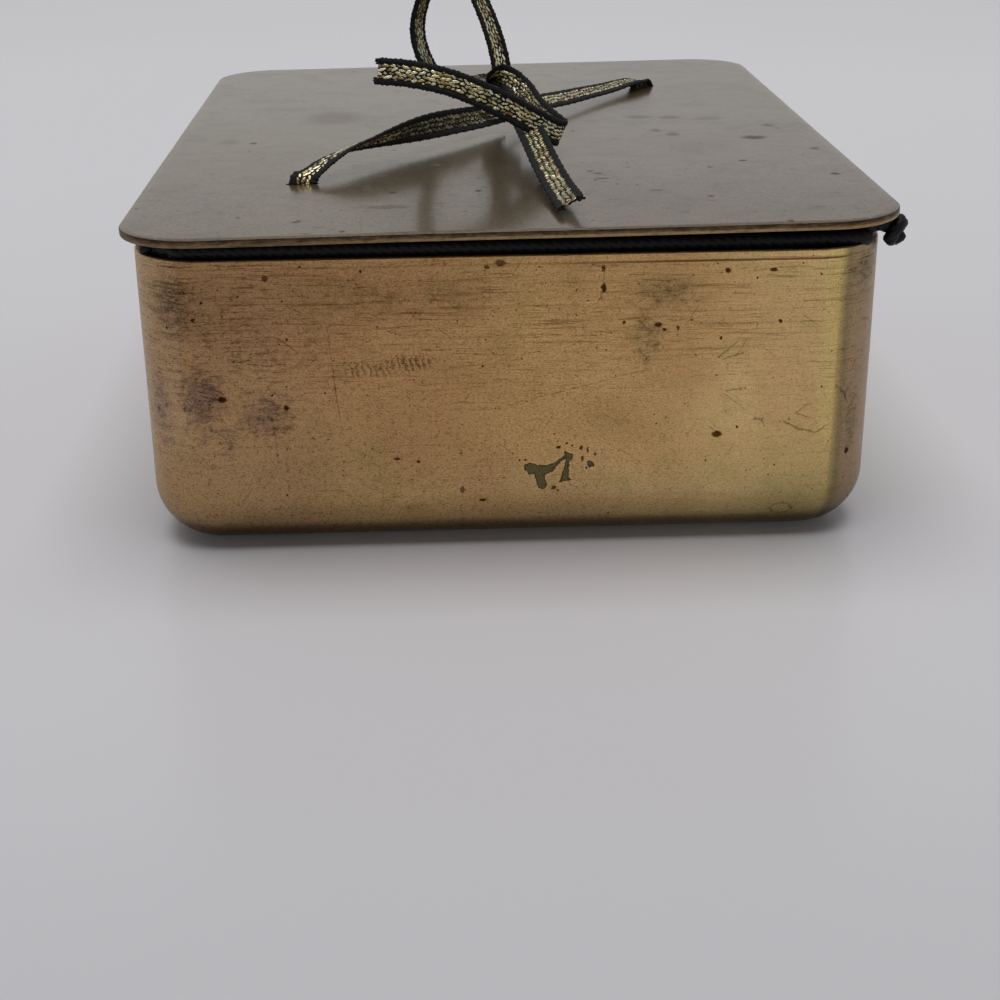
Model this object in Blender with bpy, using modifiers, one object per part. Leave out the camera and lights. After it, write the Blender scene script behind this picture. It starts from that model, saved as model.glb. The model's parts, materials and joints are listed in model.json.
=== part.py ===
"""Trinket box: a deep-drawn brass pan with a flat lift-off lid and a ribbon bow as its pull.

The pan stands on its flat floor, with the origin under its middle, X across the front and Y
towards the back. A black lining strip stands inside its wall, on a padded base. A black cord
lies on the lining's top edge all round, and its two ends leave over the rim at the front right
corner, in a knot. The lid is a brass plate with a black panel under it that drops inside the
cord. A woven ribbon comes up through two slits in the plate and is tied in a bow with one loop.
"""

import math

import bmesh
import bpy
from mathutils import Matrix, Vector

MM = 0.001

# Driving sizes of the pan
BODY_WIDTH = 80.0 * MM
BODY_DEPTH = 110.0 * MM
BODY_HEIGHT = 33.0 * MM
BODY_WALL = 0.6 * MM
BODY_CORNER_RADIUS = 8.0 * MM
BODY_ROLL_RADIUS = 6.3 * MM

# Driving sizes of the lining and the cord on its edge
LINING_THICKNESS = 1.8 * MM
LINING_JOINT = 0.4 * MM
CORD_DIAMETER = 1.8 * MM
CORD_PROUD_OF_RIM = 1.35 * MM
CORD_END_SPACING = 2.2 * MM

# Driving sizes of the lid
LID_OVERHANG = 1.5 * MM
LID_THICKNESS = 0.85 * MM
LID_CORNER_RADIUS = 8.5 * MM
LID_EDGE_ROUNDING = 0.15 * MM
LID_SHIFT = 0.3 * MM
PANEL_THICKNESS = 2.0 * MM
PANEL_CLEARANCE = 0.6 * MM

# Driving sizes of the ribbon and its two slits
RIBBON_WIDTH = 3.2 * MM
RIBBON_THICKNESS = 0.35 * MM
SLIT_X = 23.3 * MM
SLIT_Y = 31.0 * MM
KNOT_RADIUS = 1.9 * MM
KNOT_CENTRE = Vector((1.1, 0.4, 4.5)) * MM

# Clearance between pieces that touch
SEAT_GAP = 0.3 * MM

# Facets
CORNER_STEPS = 10
ROLL_STEPS = 7
STRIP_STEP = RIBBON_WIDTH / 3
CORD_STEP = 4.5 * MM
CORD_END_STEP = 0.6 * MM

# Sizes that follow from the driving ones
LINING_INSET = BODY_WALL + SEAT_GAP
CORD_RADIUS = CORD_DIAMETER / 2
CORD_INSET = LINING_INSET + CORD_RADIUS
CORD_CORNER_RADIUS = BODY_CORNER_RADIUS - CORD_INSET
CORD_CENTRE_Z = BODY_HEIGHT + CORD_PROUD_OF_RIM - CORD_RADIUS
CORD_END_Z = BODY_HEIGHT + SEAT_GAP + CORD_RADIUS
LINING_TOP = CORD_CENTRE_Z - CORD_RADIUS - SEAT_GAP
LINING_BOTTOM = BODY_ROLL_RADIUS
PAD_BOTTOM = BODY_WALL + SEAT_GAP
PAD_TOP = LINING_BOTTOM - SEAT_GAP
PAD_INSET = BODY_WALL + SEAT_GAP
LID_WIDTH = BODY_WIDTH + 2 * LID_OVERHANG
LID_DEPTH = BODY_DEPTH + 2 * LID_OVERHANG

# The lid bears on the cord at the left and on the cord's two ends, over the rim, at the right
LEFT_BEARING_X = -(BODY_WIDTH / 2 - CORD_INSET)
RIGHT_BEARING_X = BODY_WIDTH / 2 - BODY_WALL / 2
LID_TILT = math.atan((CORD_END_Z - CORD_CENTRE_Z) / (RIGHT_BEARING_X - LEFT_BEARING_X))
LID_UNDERSIDE_Z = (
    CORD_CENTRE_Z
    + CORD_RADIUS
    + SEAT_GAP
    + math.tan(LID_TILT) * (LID_SHIFT - LEFT_BEARING_X)
)

# The bow's stations are written in this unit: millimetres on a ribbon 3.2 mm wide
RIBBON_UNIT = RIBBON_WIDTH / 3.2

# The panel under the plate, and the channel in it for the ribbon
PANEL_INSET = CORD_INSET + CORD_RADIUS + PANEL_CLEARANCE
PANEL_TOP = -SEAT_GAP
UNDER_RUN_Z = -SEAT_GAP - RIBBON_THICKNESS / 2
CHANNEL_DEPTH = RIBBON_THICKNESS + SEAT_GAP
CHANNEL_WIDTH = RIBBON_WIDTH + 7 * SEAT_GAP
SLIT_LENGTH = RIBBON_WIDTH + 2 * SEAT_GAP
SLIT_WIDTH = RIBBON_THICKNESS + 2 * SEAT_GAP


def clear_scene():
    for old in list(bpy.data.objects):
        bpy.data.objects.remove(old, do_unlink=True)


def new_collection(name):
    collection = bpy.data.collections.new(name)
    bpy.context.scene.collection.children.link(collection)
    return collection


def material(name, colour, roughness, metallic):
    made = bpy.data.materials.new(name)
    made.use_nodes = True
    shader = made.node_tree.nodes["Principled BSDF"]
    shader.inputs["Base Color"].default_value = (*colour, 1.0)
    shader.inputs["Roughness"].default_value = roughness
    shader.inputs["Metallic"].default_value = metallic
    return made


clear_scene()
PARTS = new_collection("trinket_box")
CUTTERS = new_collection("cutters")
BRASS = material("aged_brass", (0.42, 0.30, 0.15), 0.38, 1.0)
LID_BRASS = material("lid_brass", (0.36, 0.31, 0.24), 0.32, 1.0)
VELVET = material("black_velvet", (0.012, 0.012, 0.014), 0.95, 0.0)
CORD_BLACK = material("black_cord", (0.02, 0.02, 0.023), 0.75, 0.0)
RIBBON = material("black_gold_ribbon", (0.16, 0.13, 0.06), 0.5, 0.3)


def add_object(name, mesh, collection, finish=None):
    made = bpy.data.objects.new(name, mesh)
    collection.objects.link(made)
    if finish:
        mesh.materials.clear()
        mesh.materials.append(finish)
    if collection == CUTTERS:
        made.hide_render = True
        made.display_type = "WIRE"
    return made


def mesh_from_bmesh(name, bm):
    bmesh.ops.recalc_face_normals(bm, faces=bm.faces)
    mesh = bpy.data.meshes.new(name)
    bm.to_mesh(mesh)
    bm.free()
    return mesh


def mesh_from_curve(curve_object):
    """The curve's evaluated shape as a mesh, its caps welded; the curve itself is removed."""
    depsgraph = bpy.context.evaluated_depsgraph_get()
    depsgraph.update()
    mesh = bpy.data.meshes.new_from_object(curve_object.evaluated_get(depsgraph))
    mesh.transform(curve_object.matrix_world)
    bm = bmesh.new()
    bm.from_mesh(mesh)
    bmesh.ops.remove_doubles(bm, verts=bm.verts, dist=0.00001)
    bmesh.ops.recalc_face_normals(bm, faces=bm.faces)
    bm.to_mesh(mesh)
    bm.free()
    bpy.data.objects.remove(curve_object, do_unlink=True)
    return mesh


def smooth(thing, angle=35.0):
    thing.data.shade_smooth()
    thing.data.set_sharp_from_angle(angle=math.radians(angle))


def boolean(target, tool, operation):
    modifier = target.modifiers.new(operation.lower() + "_" + tool.name, "BOOLEAN")
    modifier.operation = operation
    modifier.object = tool
    modifier.solver = "EXACT"


def rounded_rectangle(width, depth, radius, steps):
    """Points of a rounded rectangle about the origin, anticlockwise from the right side."""
    points = []
    for sign_x, sign_y, start in ((1, 1, 0), (-1, 1, 90), (-1, -1, 180), (1, -1, 270)):
        centre_x = sign_x * (width / 2 - radius)
        centre_y = sign_y * (depth / 2 - radius)
        for step in range(steps + 1):
            angle = math.radians(start + 90 * step / steps)
            x = centre_x + radius * math.cos(angle)
            y = centre_y + radius * math.sin(angle)
            points.append((x, y))
    return points


def poly_curve(name, points, cyclic, dimensions):
    curve = bpy.data.curves.new(name, "CURVE")
    curve.dimensions = dimensions
    spline = curve.splines.new("POLY")
    spline.points.add(len(points) - 1)
    for target, point in zip(spline.points, points):
        target.co = (point[0], point[1], point[2] if len(point) > 2 else 0.0, 1.0)
    spline.use_cyclic_u = cyclic
    made = bpy.data.objects.new(name, curve)
    bpy.context.scene.collection.objects.link(made)
    return made


def plate_mesh(name, points, thickness, bottom):
    """A flat plate of the given outline, its lower face at height bottom."""
    outline = poly_curve(name, points, True, "2D")
    outline.data.fill_mode = "BOTH"
    outline.data.extrude = thickness / 2
    outline.location.z = bottom + thickness / 2
    return mesh_from_curve(outline)


def catmull_rom(before, start, end, after, t):
    return 0.5 * (
        2 * start
        + (end - before) * t
        + (2 * before - 5 * start + 4 * end - after) * t * t
        + (3 * start - before - 3 * end + after) * t * t * t
    )


def smooth_route(points, step):
    """Points about step apart on a smooth curve through the given ones."""
    padded = [2 * points[0] - points[1], *points, 2 * points[-1] - points[-2]]
    route = []
    for index in range(1, len(padded) - 2):
        start = padded[index]
        end = padded[index + 1]
        count = max(1, round((end - start).to_3d().length / step))
        for part in range(count):
            around = (padded[index - 1], start, end, padded[index + 2])
            route.append(catmull_rom(*around, part / count))
    route.append(points[-1])
    return route


def drawn_pan(width, depth, height, corner_radius, roll_radius):
    """An open-topped box with round upright corners and a round bottom edge, from z = 0 up."""
    bm = bmesh.new()
    bmesh.ops.create_cube(bm, size=1.0)
    bmesh.ops.scale(bm, verts=bm.verts, vec=(width, depth, height))
    bmesh.ops.translate(bm, verts=bm.verts, vec=(0, 0, height / 2))
    top = [face for face in bm.faces if face.normal.z > 0.9]
    bmesh.ops.delete(bm, geom=top, context="FACES_ONLY")
    upright = [edge for edge in bm.edges if abs(edge.verts[0].co.z - edge.verts[1].co.z) > height / 2]
    bmesh.ops.bevel(
        bm,
        geom=upright,
        offset=corner_radius,
        segments=CORNER_STEPS,
        profile=0.5,
        affect="EDGES",
    )
    foot = [edge for edge in bm.edges if max(v.co.z for v in edge.verts) < height * 0.001]
    bmesh.ops.bevel(
        bm,
        geom=foot,
        offset=roll_radius,
        segments=ROLL_STEPS,
        profile=0.5,
        affect="EDGES",
    )
    return bm


def make_body():
    bm = drawn_pan(BODY_WIDTH, BODY_DEPTH, BODY_HEIGHT, BODY_CORNER_RADIUS, BODY_ROLL_RADIUS)
    body = add_object("box_body", mesh_from_bmesh("box_body", bm), PARTS, BRASS)
    # The normals point out of the pan, so the sheet's thickness goes inwards
    shell = body.modifiers.new("sheet", "SOLIDIFY")
    shell.thickness = BODY_WALL
    shell.offset = -1.0
    shell.use_even_offset = True
    smooth(body)


def make_base_pad():
    """A padded board that fills the pan's rounded foot, up to the lining's lower edge."""
    roll = BODY_ROLL_RADIUS - PAD_INSET
    bm = drawn_pan(
        BODY_WIDTH - 2 * PAD_INSET,
        BODY_DEPTH - 2 * PAD_INSET,
        2 * BODY_ROLL_RADIUS,
        BODY_CORNER_RADIUS - PAD_INSET,
        roll,
    )
    height = PAD_TOP - PAD_BOTTOM
    everything = bm.verts[:] + bm.edges[:] + bm.faces[:]
    cut = bmesh.ops.bisect_plane(
        bm,
        geom=everything,
        dist=0.000001,
        plane_co=(0, 0, height),
        plane_no=(0, 0, 1),
        clear_outer=True,
    )
    rim = [item for item in cut["geom_cut"] if isinstance(item, bmesh.types.BMEdge)]
    bmesh.ops.contextual_create(bm, geom=rim)
    bmesh.ops.translate(bm, verts=bm.verts, vec=(0, 0, PAD_BOTTOM))
    pad = add_object("base_pad", mesh_from_bmesh("base_pad", bm), PARTS, VELVET)
    smooth(pad)


def make_wall_lining():
    """One covered strip bent round the inside of the wall, its ends meeting at the back."""
    width = BODY_WIDTH - 2 * LINING_INSET
    depth = BODY_DEPTH - 2 * LINING_INSET
    radius = BODY_CORNER_RADIUS - LINING_INSET
    corners = rounded_rectangle(width, depth, radius, CORNER_STEPS)
    # The list starts at the right side; the strip starts at the middle of the back
    per_corner = CORNER_STEPS + 1
    turned = corners[per_corner:] + corners[:per_corner]
    start = (-LINING_JOINT / 2, depth / 2)
    end = (LINING_JOINT / 2, depth / 2)
    strip = poly_curve("wall_lining", [start, *turned, end], False, "2D")
    strip.data.fill_mode = "NONE"
    strip.data.extrude = (LINING_TOP - LINING_BOTTOM) / 2
    strip.location.z = (LINING_TOP + LINING_BOTTOM) / 2
    mesh = mesh_from_curve(strip)
    lining = add_object("wall_lining", mesh, PARTS, VELVET)
    # The strip runs anticlockwise, with its normals pointing out
    face_out(mesh)
    board = lining.modifiers.new("board", "SOLIDIFY")
    board.thickness = LINING_THICKNESS
    board.offset = -1.0
    board.use_even_offset = True
    smooth(lining)


def face_out(mesh):
    """Turn an open upright strip's faces so that they point away from the middle."""
    bm = bmesh.new()
    bm.from_mesh(mesh)
    inward = [face for face in bm.faces if face.normal.dot(face.calc_center_median()) < 0]
    bmesh.ops.reverse_faces(bm, faces=inward)
    bm.to_mesh(mesh)
    bm.free()


def cord_route():
    """From one end in the knot, over the rim, round on the lining, and out to the knot again."""
    half_x = BODY_WIDTH / 2 - CORD_INSET
    half_y = BODY_DEPTH / 2 - CORD_INSET
    radius = CORD_CORNER_RADIUS
    corner_x = half_x - radius
    corner_y = -(half_y - radius)
    rim_x = BODY_WIDTH / 2
    exit_y = corner_y - CORD_END_SPACING
    low = CORD_CENTRE_Z
    high = CORD_END_Z

    # The end that comes forward along the right side turns out over the rim behind the other
    back_end = [
        Vector((rim_x + 1.1 * MM, corner_y - 0.6 * MM, high - 0.4 * MM)),
        Vector((rim_x + 0.1 * MM, corner_y - 0.2 * MM, high)),
        Vector((rim_x - 0.9 * MM, corner_y + 0.6 * MM, high)),
        Vector((half_x, corner_y + 2.6 * MM, low + 0.2 * MM)),
    ]
    ring = rounded_rectangle(2 * half_x, 2 * half_y, radius, 4)
    straight = [Vector((half_x, corner_y + 6 * MM, low)), Vector((half_x, 0, low))]
    around = [Vector((x, y, low)) for x, y in ring[:-3]]
    # The other end follows the front right corner most of the way before it leaves
    front_end = [
        Vector((corner_x + 0.42 * radius, corner_y - 0.91 * radius, low)),
        Vector((corner_x + 0.78 * radius, corner_y - 0.70 * radius, low + 0.2 * MM)),
        Vector((rim_x - 1.0 * MM, exit_y - 0.6 * MM, high)),
        Vector((rim_x + 0.2 * MM, exit_y - 0.4 * MM, high - 0.1 * MM)),
        Vector((rim_x + 1.1 * MM, exit_y - 0.5 * MM, high - 0.7 * MM)),
    ]
    out = smooth_route(back_end, CORD_END_STEP)
    middle = smooth_route([back_end[-1], *straight, *around, front_end[0]], CORD_STEP)
    home = smooth_route(front_end, CORD_END_STEP)
    return out[:-1] + middle[:-1] + home


def sphere_mesh(name, centre, radii, segments=14, rings=9):
    bm = bmesh.new()
    bmesh.ops.create_uvsphere(bm, u_segments=segments, v_segments=rings, radius=1.0)
    place = Matrix.Translation(centre) @ Matrix.Diagonal((*radii, 1.0))
    bmesh.ops.transform(bm, matrix=place, verts=bm.verts)
    return mesh_from_bmesh(name, bm)


def make_edge_cord():
    tube = poly_curve("edge_cord", cord_route(), False, "3D")
    tube.data.bevel_depth = CORD_RADIUS
    tube.data.bevel_resolution = 2
    tube.data.use_fill_caps = True
    cord = add_object("edge_cord", mesh_from_curve(tube), PARTS, CORD_BLACK)
    # The stopper knot: two turns of the cord and the cut end that stands out of it
    knot_x = BODY_WIDTH / 2 + 1.35 * MM
    knot_y = -(BODY_DEPTH / 2 - BODY_CORNER_RADIUS) - 1.9 * MM
    turns = (
        ((0.0, 0.0, 0.6), 0.92),
        ((0.25, -0.75, -0.15), 0.92),
        ((0.45, 0.1, 0.95), 0.85),
    )
    for number, (offset, radius) in enumerate(turns, 1):
        offset_x, offset_y, height = (value * MM for value in offset)
        centre = (knot_x + offset_x, knot_y + offset_y, BODY_HEIGHT + height)
        lobe = sphere_mesh("knot_turn", centre, (radius * MM,) * 3)
        tool = add_object("knot_turn_%d" % number, lobe, CUTTERS)
        boolean(cord, tool, "UNION")
    smooth(cord, 60)


def make_lid_frame():
    """The lid's own frame: its plate's underside is at z = 0, tilted by the cord's ends."""
    frame = bpy.data.objects.new("lid_frame", None)
    PARTS.objects.link(frame)
    frame.location = (LID_SHIFT, 0, LID_UNDERSIDE_Z)
    frame.rotation_euler = (0, -LID_TILT, 0)
    return frame


def slit_cutter(name, x, y):
    """A round-ended slot, from under the plate to above it."""
    end = SLIT_WIDTH / 2
    points = rounded_rectangle(SLIT_LENGTH, SLIT_WIDTH, end * 0.98, 4)
    placed = [(x + point_x, y + point_y) for point_x, point_y in points]
    mesh = plate_mesh(name, placed, 4 * LID_THICKNESS, -1.5 * LID_THICKNESS)
    return add_object(name, mesh, CUTTERS)


def make_lid_plate(frame):
    outline = rounded_rectangle(LID_WIDTH, LID_DEPTH, LID_CORNER_RADIUS, CORNER_STEPS)
    mesh = plate_mesh("lid_plate", outline, LID_THICKNESS, 0.0)
    lid = add_object("lid_plate", mesh, PARTS, LID_BRASS)
    lid.parent = frame
    edge = lid.modifiers.new("burnished_edge", "BEVEL")
    edge.width = LID_EDGE_ROUNDING
    edge.segments = 2
    edge.limit_method = "ANGLE"
    edge.angle_limit = math.radians(60)
    for number, side in enumerate((-1, 1), 1):
        tool = slit_cutter("slit_%d" % number, side * SLIT_X, side * SLIT_Y)
        tool.parent = frame
        boolean(lid, tool, "DIFFERENCE")
    smooth(lid)


def make_lid_panel(frame):
    """The board under the plate that drops inside the cord, with a channel for the ribbon."""
    outline = rounded_rectangle(
        BODY_WIDTH - 2 * PANEL_INSET,
        BODY_DEPTH - 2 * PANEL_INSET,
        BODY_CORNER_RADIUS - PANEL_INSET,
        CORNER_STEPS,
    )
    mesh = plate_mesh("lid_panel", outline, PANEL_THICKNESS, PANEL_TOP - PANEL_THICKNESS)
    panel = add_object("lid_panel", mesh, PARTS, VELVET)
    panel.parent = frame
    run = math.hypot(SLIT_X, SLIT_Y)
    length = 2 * run + CHANNEL_WIDTH + RIBBON_WIDTH
    slot = rounded_rectangle(length, CHANNEL_WIDTH, CHANNEL_WIDTH * 0.49, 6)
    heading = Matrix.Rotation(math.atan2(SLIT_Y, SLIT_X), 2)
    turned = [heading @ Vector(point) for point in slot]
    height = CHANNEL_DEPTH + SEAT_GAP
    tool_mesh = plate_mesh("channel", turned, height, PANEL_TOP - CHANNEL_DEPTH)
    tool = add_object("channel", tool_mesh, CUTTERS)
    tool.parent = frame
    boolean(panel, tool, "DIFFERENCE")
    smooth(panel)


def ribbon_strip(name, stations, collection, finish=None):
    """A flat strip through the stations, each a point and the direction across the ribbon.

    Points are in ribbon units in the lid's frame, with heights above the plate's top face.
    """
    top = Vector((0, 0, LID_THICKNESS))
    points = [Vector(place) * RIBBON_UNIT + top for place, _ in stations]
    across = [Vector(direction).normalized() for _, direction in stations]
    route = smooth_route(points, STRIP_STEP)
    directions = spread_directions(points, across)
    bm = bmesh.new()
    rows = []
    for index, centre in enumerate(route):
        ahead = route[min(index + 1, len(route) - 1)]
        behind = route[max(index - 1, 0)]
        tangent = (ahead - behind).normalized()
        side = directions[index] - tangent * directions[index].dot(tangent)
        side = side.normalized() * RIBBON_WIDTH / 2
        rows.append((bm.verts.new(centre - side), bm.verts.new(centre + side)))
    for (left, right), (next_left, next_right) in zip(rows, rows[1:]):
        bm.faces.new((left, right, next_right, next_left))
    mesh = bpy.data.meshes.new(name)
    bm.to_mesh(mesh)
    bm.free()
    strip = add_object(name, mesh, collection, finish)
    weave = strip.modifiers.new("thickness", "SOLIDIFY")
    weave.thickness = RIBBON_THICKNESS
    weave.offset = 0.0
    return strip


def spread_directions(points, across):
    """A direction for each point that smooth_route makes, turning evenly between stations."""
    directions = []
    for index in range(len(points) - 1):
        count = max(1, round((points[index + 1] - points[index]).length / STRIP_STEP))
        for part in range(count):
            directions.append(across[index].lerp(across[index + 1], part / count))
    directions.append(across[-1])
    return directions


def strand(side, rows):
    """A strand from the knot towards one slit, flat against the lid where its turn is 90.

    Each row is the part of the way to the slit, the height and the turn in degrees.
    """
    start = KNOT_CENTRE.to_2d()
    end = Vector((SLIT_X, SLIT_Y)) * side
    square = Vector((SLIT_Y, -SLIT_X)).normalized()
    stations = []
    for part, height, turn in rows:
        place = start.lerp(end, part) / RIBBON_UNIT
        across = square * math.sin(math.radians(turn))
        stations.append(((*place, height), (*across, -math.cos(math.radians(turn)))))
    return stations


def slit_passage(side, under):
    """The ribbon's stations through one slit, from the top face down to the run underneath.

    Under the plate it leaves square to the slit and only then turns, or its edge would fold over.
    """
    x = side * SLIT_X / RIBBON_UNIT
    y = side * SLIT_Y / RIBBON_UNIT
    turn = RIBBON_THICKNESS / RIBBON_UNIT
    flat = (1, 0, 0)
    return [
        ((x - side * 0.4, y - side * 0.55, 0.75), flat),
        ((x, y, 0.1), flat),
        ((x, y, under + turn), flat),
        ((x, y - side * 0.3 * turn, under + 0.3 * turn), flat),
        ((x, y - side * turn, under), flat),
        ((x - side * 0.06, y - side * (turn + 0.6), under), flat),
        ((x - side * 0.32, y - side * (turn + 1.2), under), flat),
        ((x - side * 0.72, y - side * (turn + 1.75), under), flat),
    ]


def threaded_stations():
    """From the knot down through the left slit, under the plate, and back up on the right."""
    under = (UNDER_RUN_Z - LID_THICKNESS) / RIBBON_UNIT
    along = Vector((SLIT_X, SLIT_Y, 0)).normalized()
    square = (along.y, -along.x, 0)
    run = math.hypot(SLIT_X, SLIT_Y) / RIBBON_UNIT - 4.8
    left_rows = [
        (0.02, 2.9, 0),
        (0.15, 2.15, 5),
        (0.37, 2.45, 8),
        (0.55, 2.35, 35),
        (0.70, 2.15, 80),
        (0.83, 2.05, 95),
        (0.93, 1.5, 90),
    ]
    right_rows = [
        (0.02, 3.1, 60),
        (0.16, 2.3, 75),
        (0.38, 1.6, 88),
        (0.55, 1.45, 90),
        (0.72, 1.3, 90),
        (0.86, 1.35, 86),
        (0.95, 1.2, 82),
    ]
    # Stations close together near the slits, or the smooth route would swing past them
    flat_run = []
    for inward in (0, 4, 12, 24):
        flat_run.append(((*((inward - run) * along.xy), under), square))
    for inward in (24, 12, 4, 0):
        flat_run.append(((*((run - inward) * along.xy), under), square))
    down = slit_passage(-1, under)
    up = list(reversed(slit_passage(1, under)))
    return strand(-1, left_rows) + down + flat_run + up + list(reversed(strand(1, right_rows)))


def ribbon_stations():
    """The ribbon's stretches, in ribbon units from the middle of the plate's top face."""
    return {
        "threaded_run": threaded_stations(),
        "upright_loop": [
            ((0.6, 0.7, 5.6), (0.5, 0.8, 0)),
            ((-1.6, 1.3, 6.4), (0.5, 0.85, 0.2)),
            ((-4.9, 2.2, 5.9), (0.55, 0.8, 0.3)),
            ((-8.0, 3.2, 7.4), (0.6, 0.8, 0.1)),
            ((-9.6, 3.6, 12.0), (0.6, 0.8, 0)),
            ((-8.6, 3.2, 16.6), (0.6, 0.8, 0)),
            ((-5.9, 2.6, 20.2), (0.6, 0.8, 0)),
            ((-3.2, 2.0, 19.6), (0.65, 0.75, 0)),
            ((-1.2, 1.6, 15.6), (0.7, 0.7, 0)),
            ((0.2, 1.2, 11.8), (0.75, 0.65, 0)),
            ((1.0, 0.8, 8.4), (0.8, 0.6, 0)),
            ((1.3, 0.4, 5.4), (0.8, 0.6, 0)),
        ],
        "curled_tail": [
            ((0.3, 0.9, 4.0), (0.15, -0.95, 0.1)),
            ((-1.35, 0.2, 5.3), (0.2, -0.95, 0.1)),
            ((-0.4, -0.5, 6.8), (0.4, -0.85, 0.15)),
            ((1.6, -2.0, 6.9), (0.75, -0.45, 0.4)),
            ((3.5, -4.8, 5.7), (0.8, 0.1, 0.6)),
            ((4.7, -9.8, 4.4), (0.75, 0.2, 0.65)),
            ((6.1, -15.2, 3.6), (0.6, 0.3, 0.8)),
            ((7.4, -19.0, 3.0), (0.5, 0.3, 0.85)),
            ((7.2, -21.0, 3.1), (0.4, 0.3, 0.9)),
            ((5.4, -22.0, 4.1), (0.3, 0.25, 0.93)),
            ((0.0, -23.0, 7.2), (0.34, 0.28, 0.93)),
            ((-5.4, -23.4, 9.7), (0.3, 0.35, 0.93)),
            ((-10.4, -23.0, 10.9), (0.16, 0.25, 0.95)),
            ((-14.3, -22.0, 11.2), (0.26, 0.25, 0.94)),
        ],
        "front_tail": [
            ((1.2, 0.2, 4.4), (1, 0.1, 0)),
            ((2.0, -6.0, 4.7), (0.95, 0.1, 0.15)),
            ((3.0, -15.5, 4.3), (0.93, 0.1, 0.25)),
            ((3.8, -25.0, 3.5), (0.93, 0.1, 0.3)),
            ((4.6, -33.0, 2.2), (0.94, 0.1, 0.28)),
            ((5.5, -41.0, 1.2), (0.95, 0.15, 0.22)),
            ((6.4, -48.3, 0.85), (0.93, 0.3, 0.26)),
        ],
    }


def make_ribbon(frame):
    """The knot's round core, with every stretch of the ribbon joined into it."""
    top = Vector((0, 0, LID_THICKNESS))
    radii = (KNOT_RADIUS * 1.05, KNOT_RADIUS, KNOT_RADIUS * 1.25)
    core = sphere_mesh("ribbon_bow", KNOT_CENTRE + top, radii, 18, 12)
    ribbon = add_object("ribbon_bow", core, PARTS, RIBBON)
    ribbon.parent = frame
    for name, stations in ribbon_stations().items():
        strip = ribbon_strip(name, stations, CUTTERS)
        strip.parent = frame
        boolean(ribbon, strip, "UNION")
    smooth(ribbon, 50)


def main():
    make_body()
    make_base_pad()
    make_wall_lining()
    make_edge_cord()
    frame = make_lid_frame()
    make_lid_plate(frame)
    make_lid_panel(frame)
    make_ribbon(frame)


main()
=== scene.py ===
"""The looks of a brass trinket box with a flat lid and a black and gold ribbon bow.

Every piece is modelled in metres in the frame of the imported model. The metal pieces are fine
meshes with slight unevenness, the cord is laid from three strands, and the ribbon is a narrow
band with two black selvedges and raised gold stitches between them.
"""

import json
import math
import random
from types import SimpleNamespace

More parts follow.
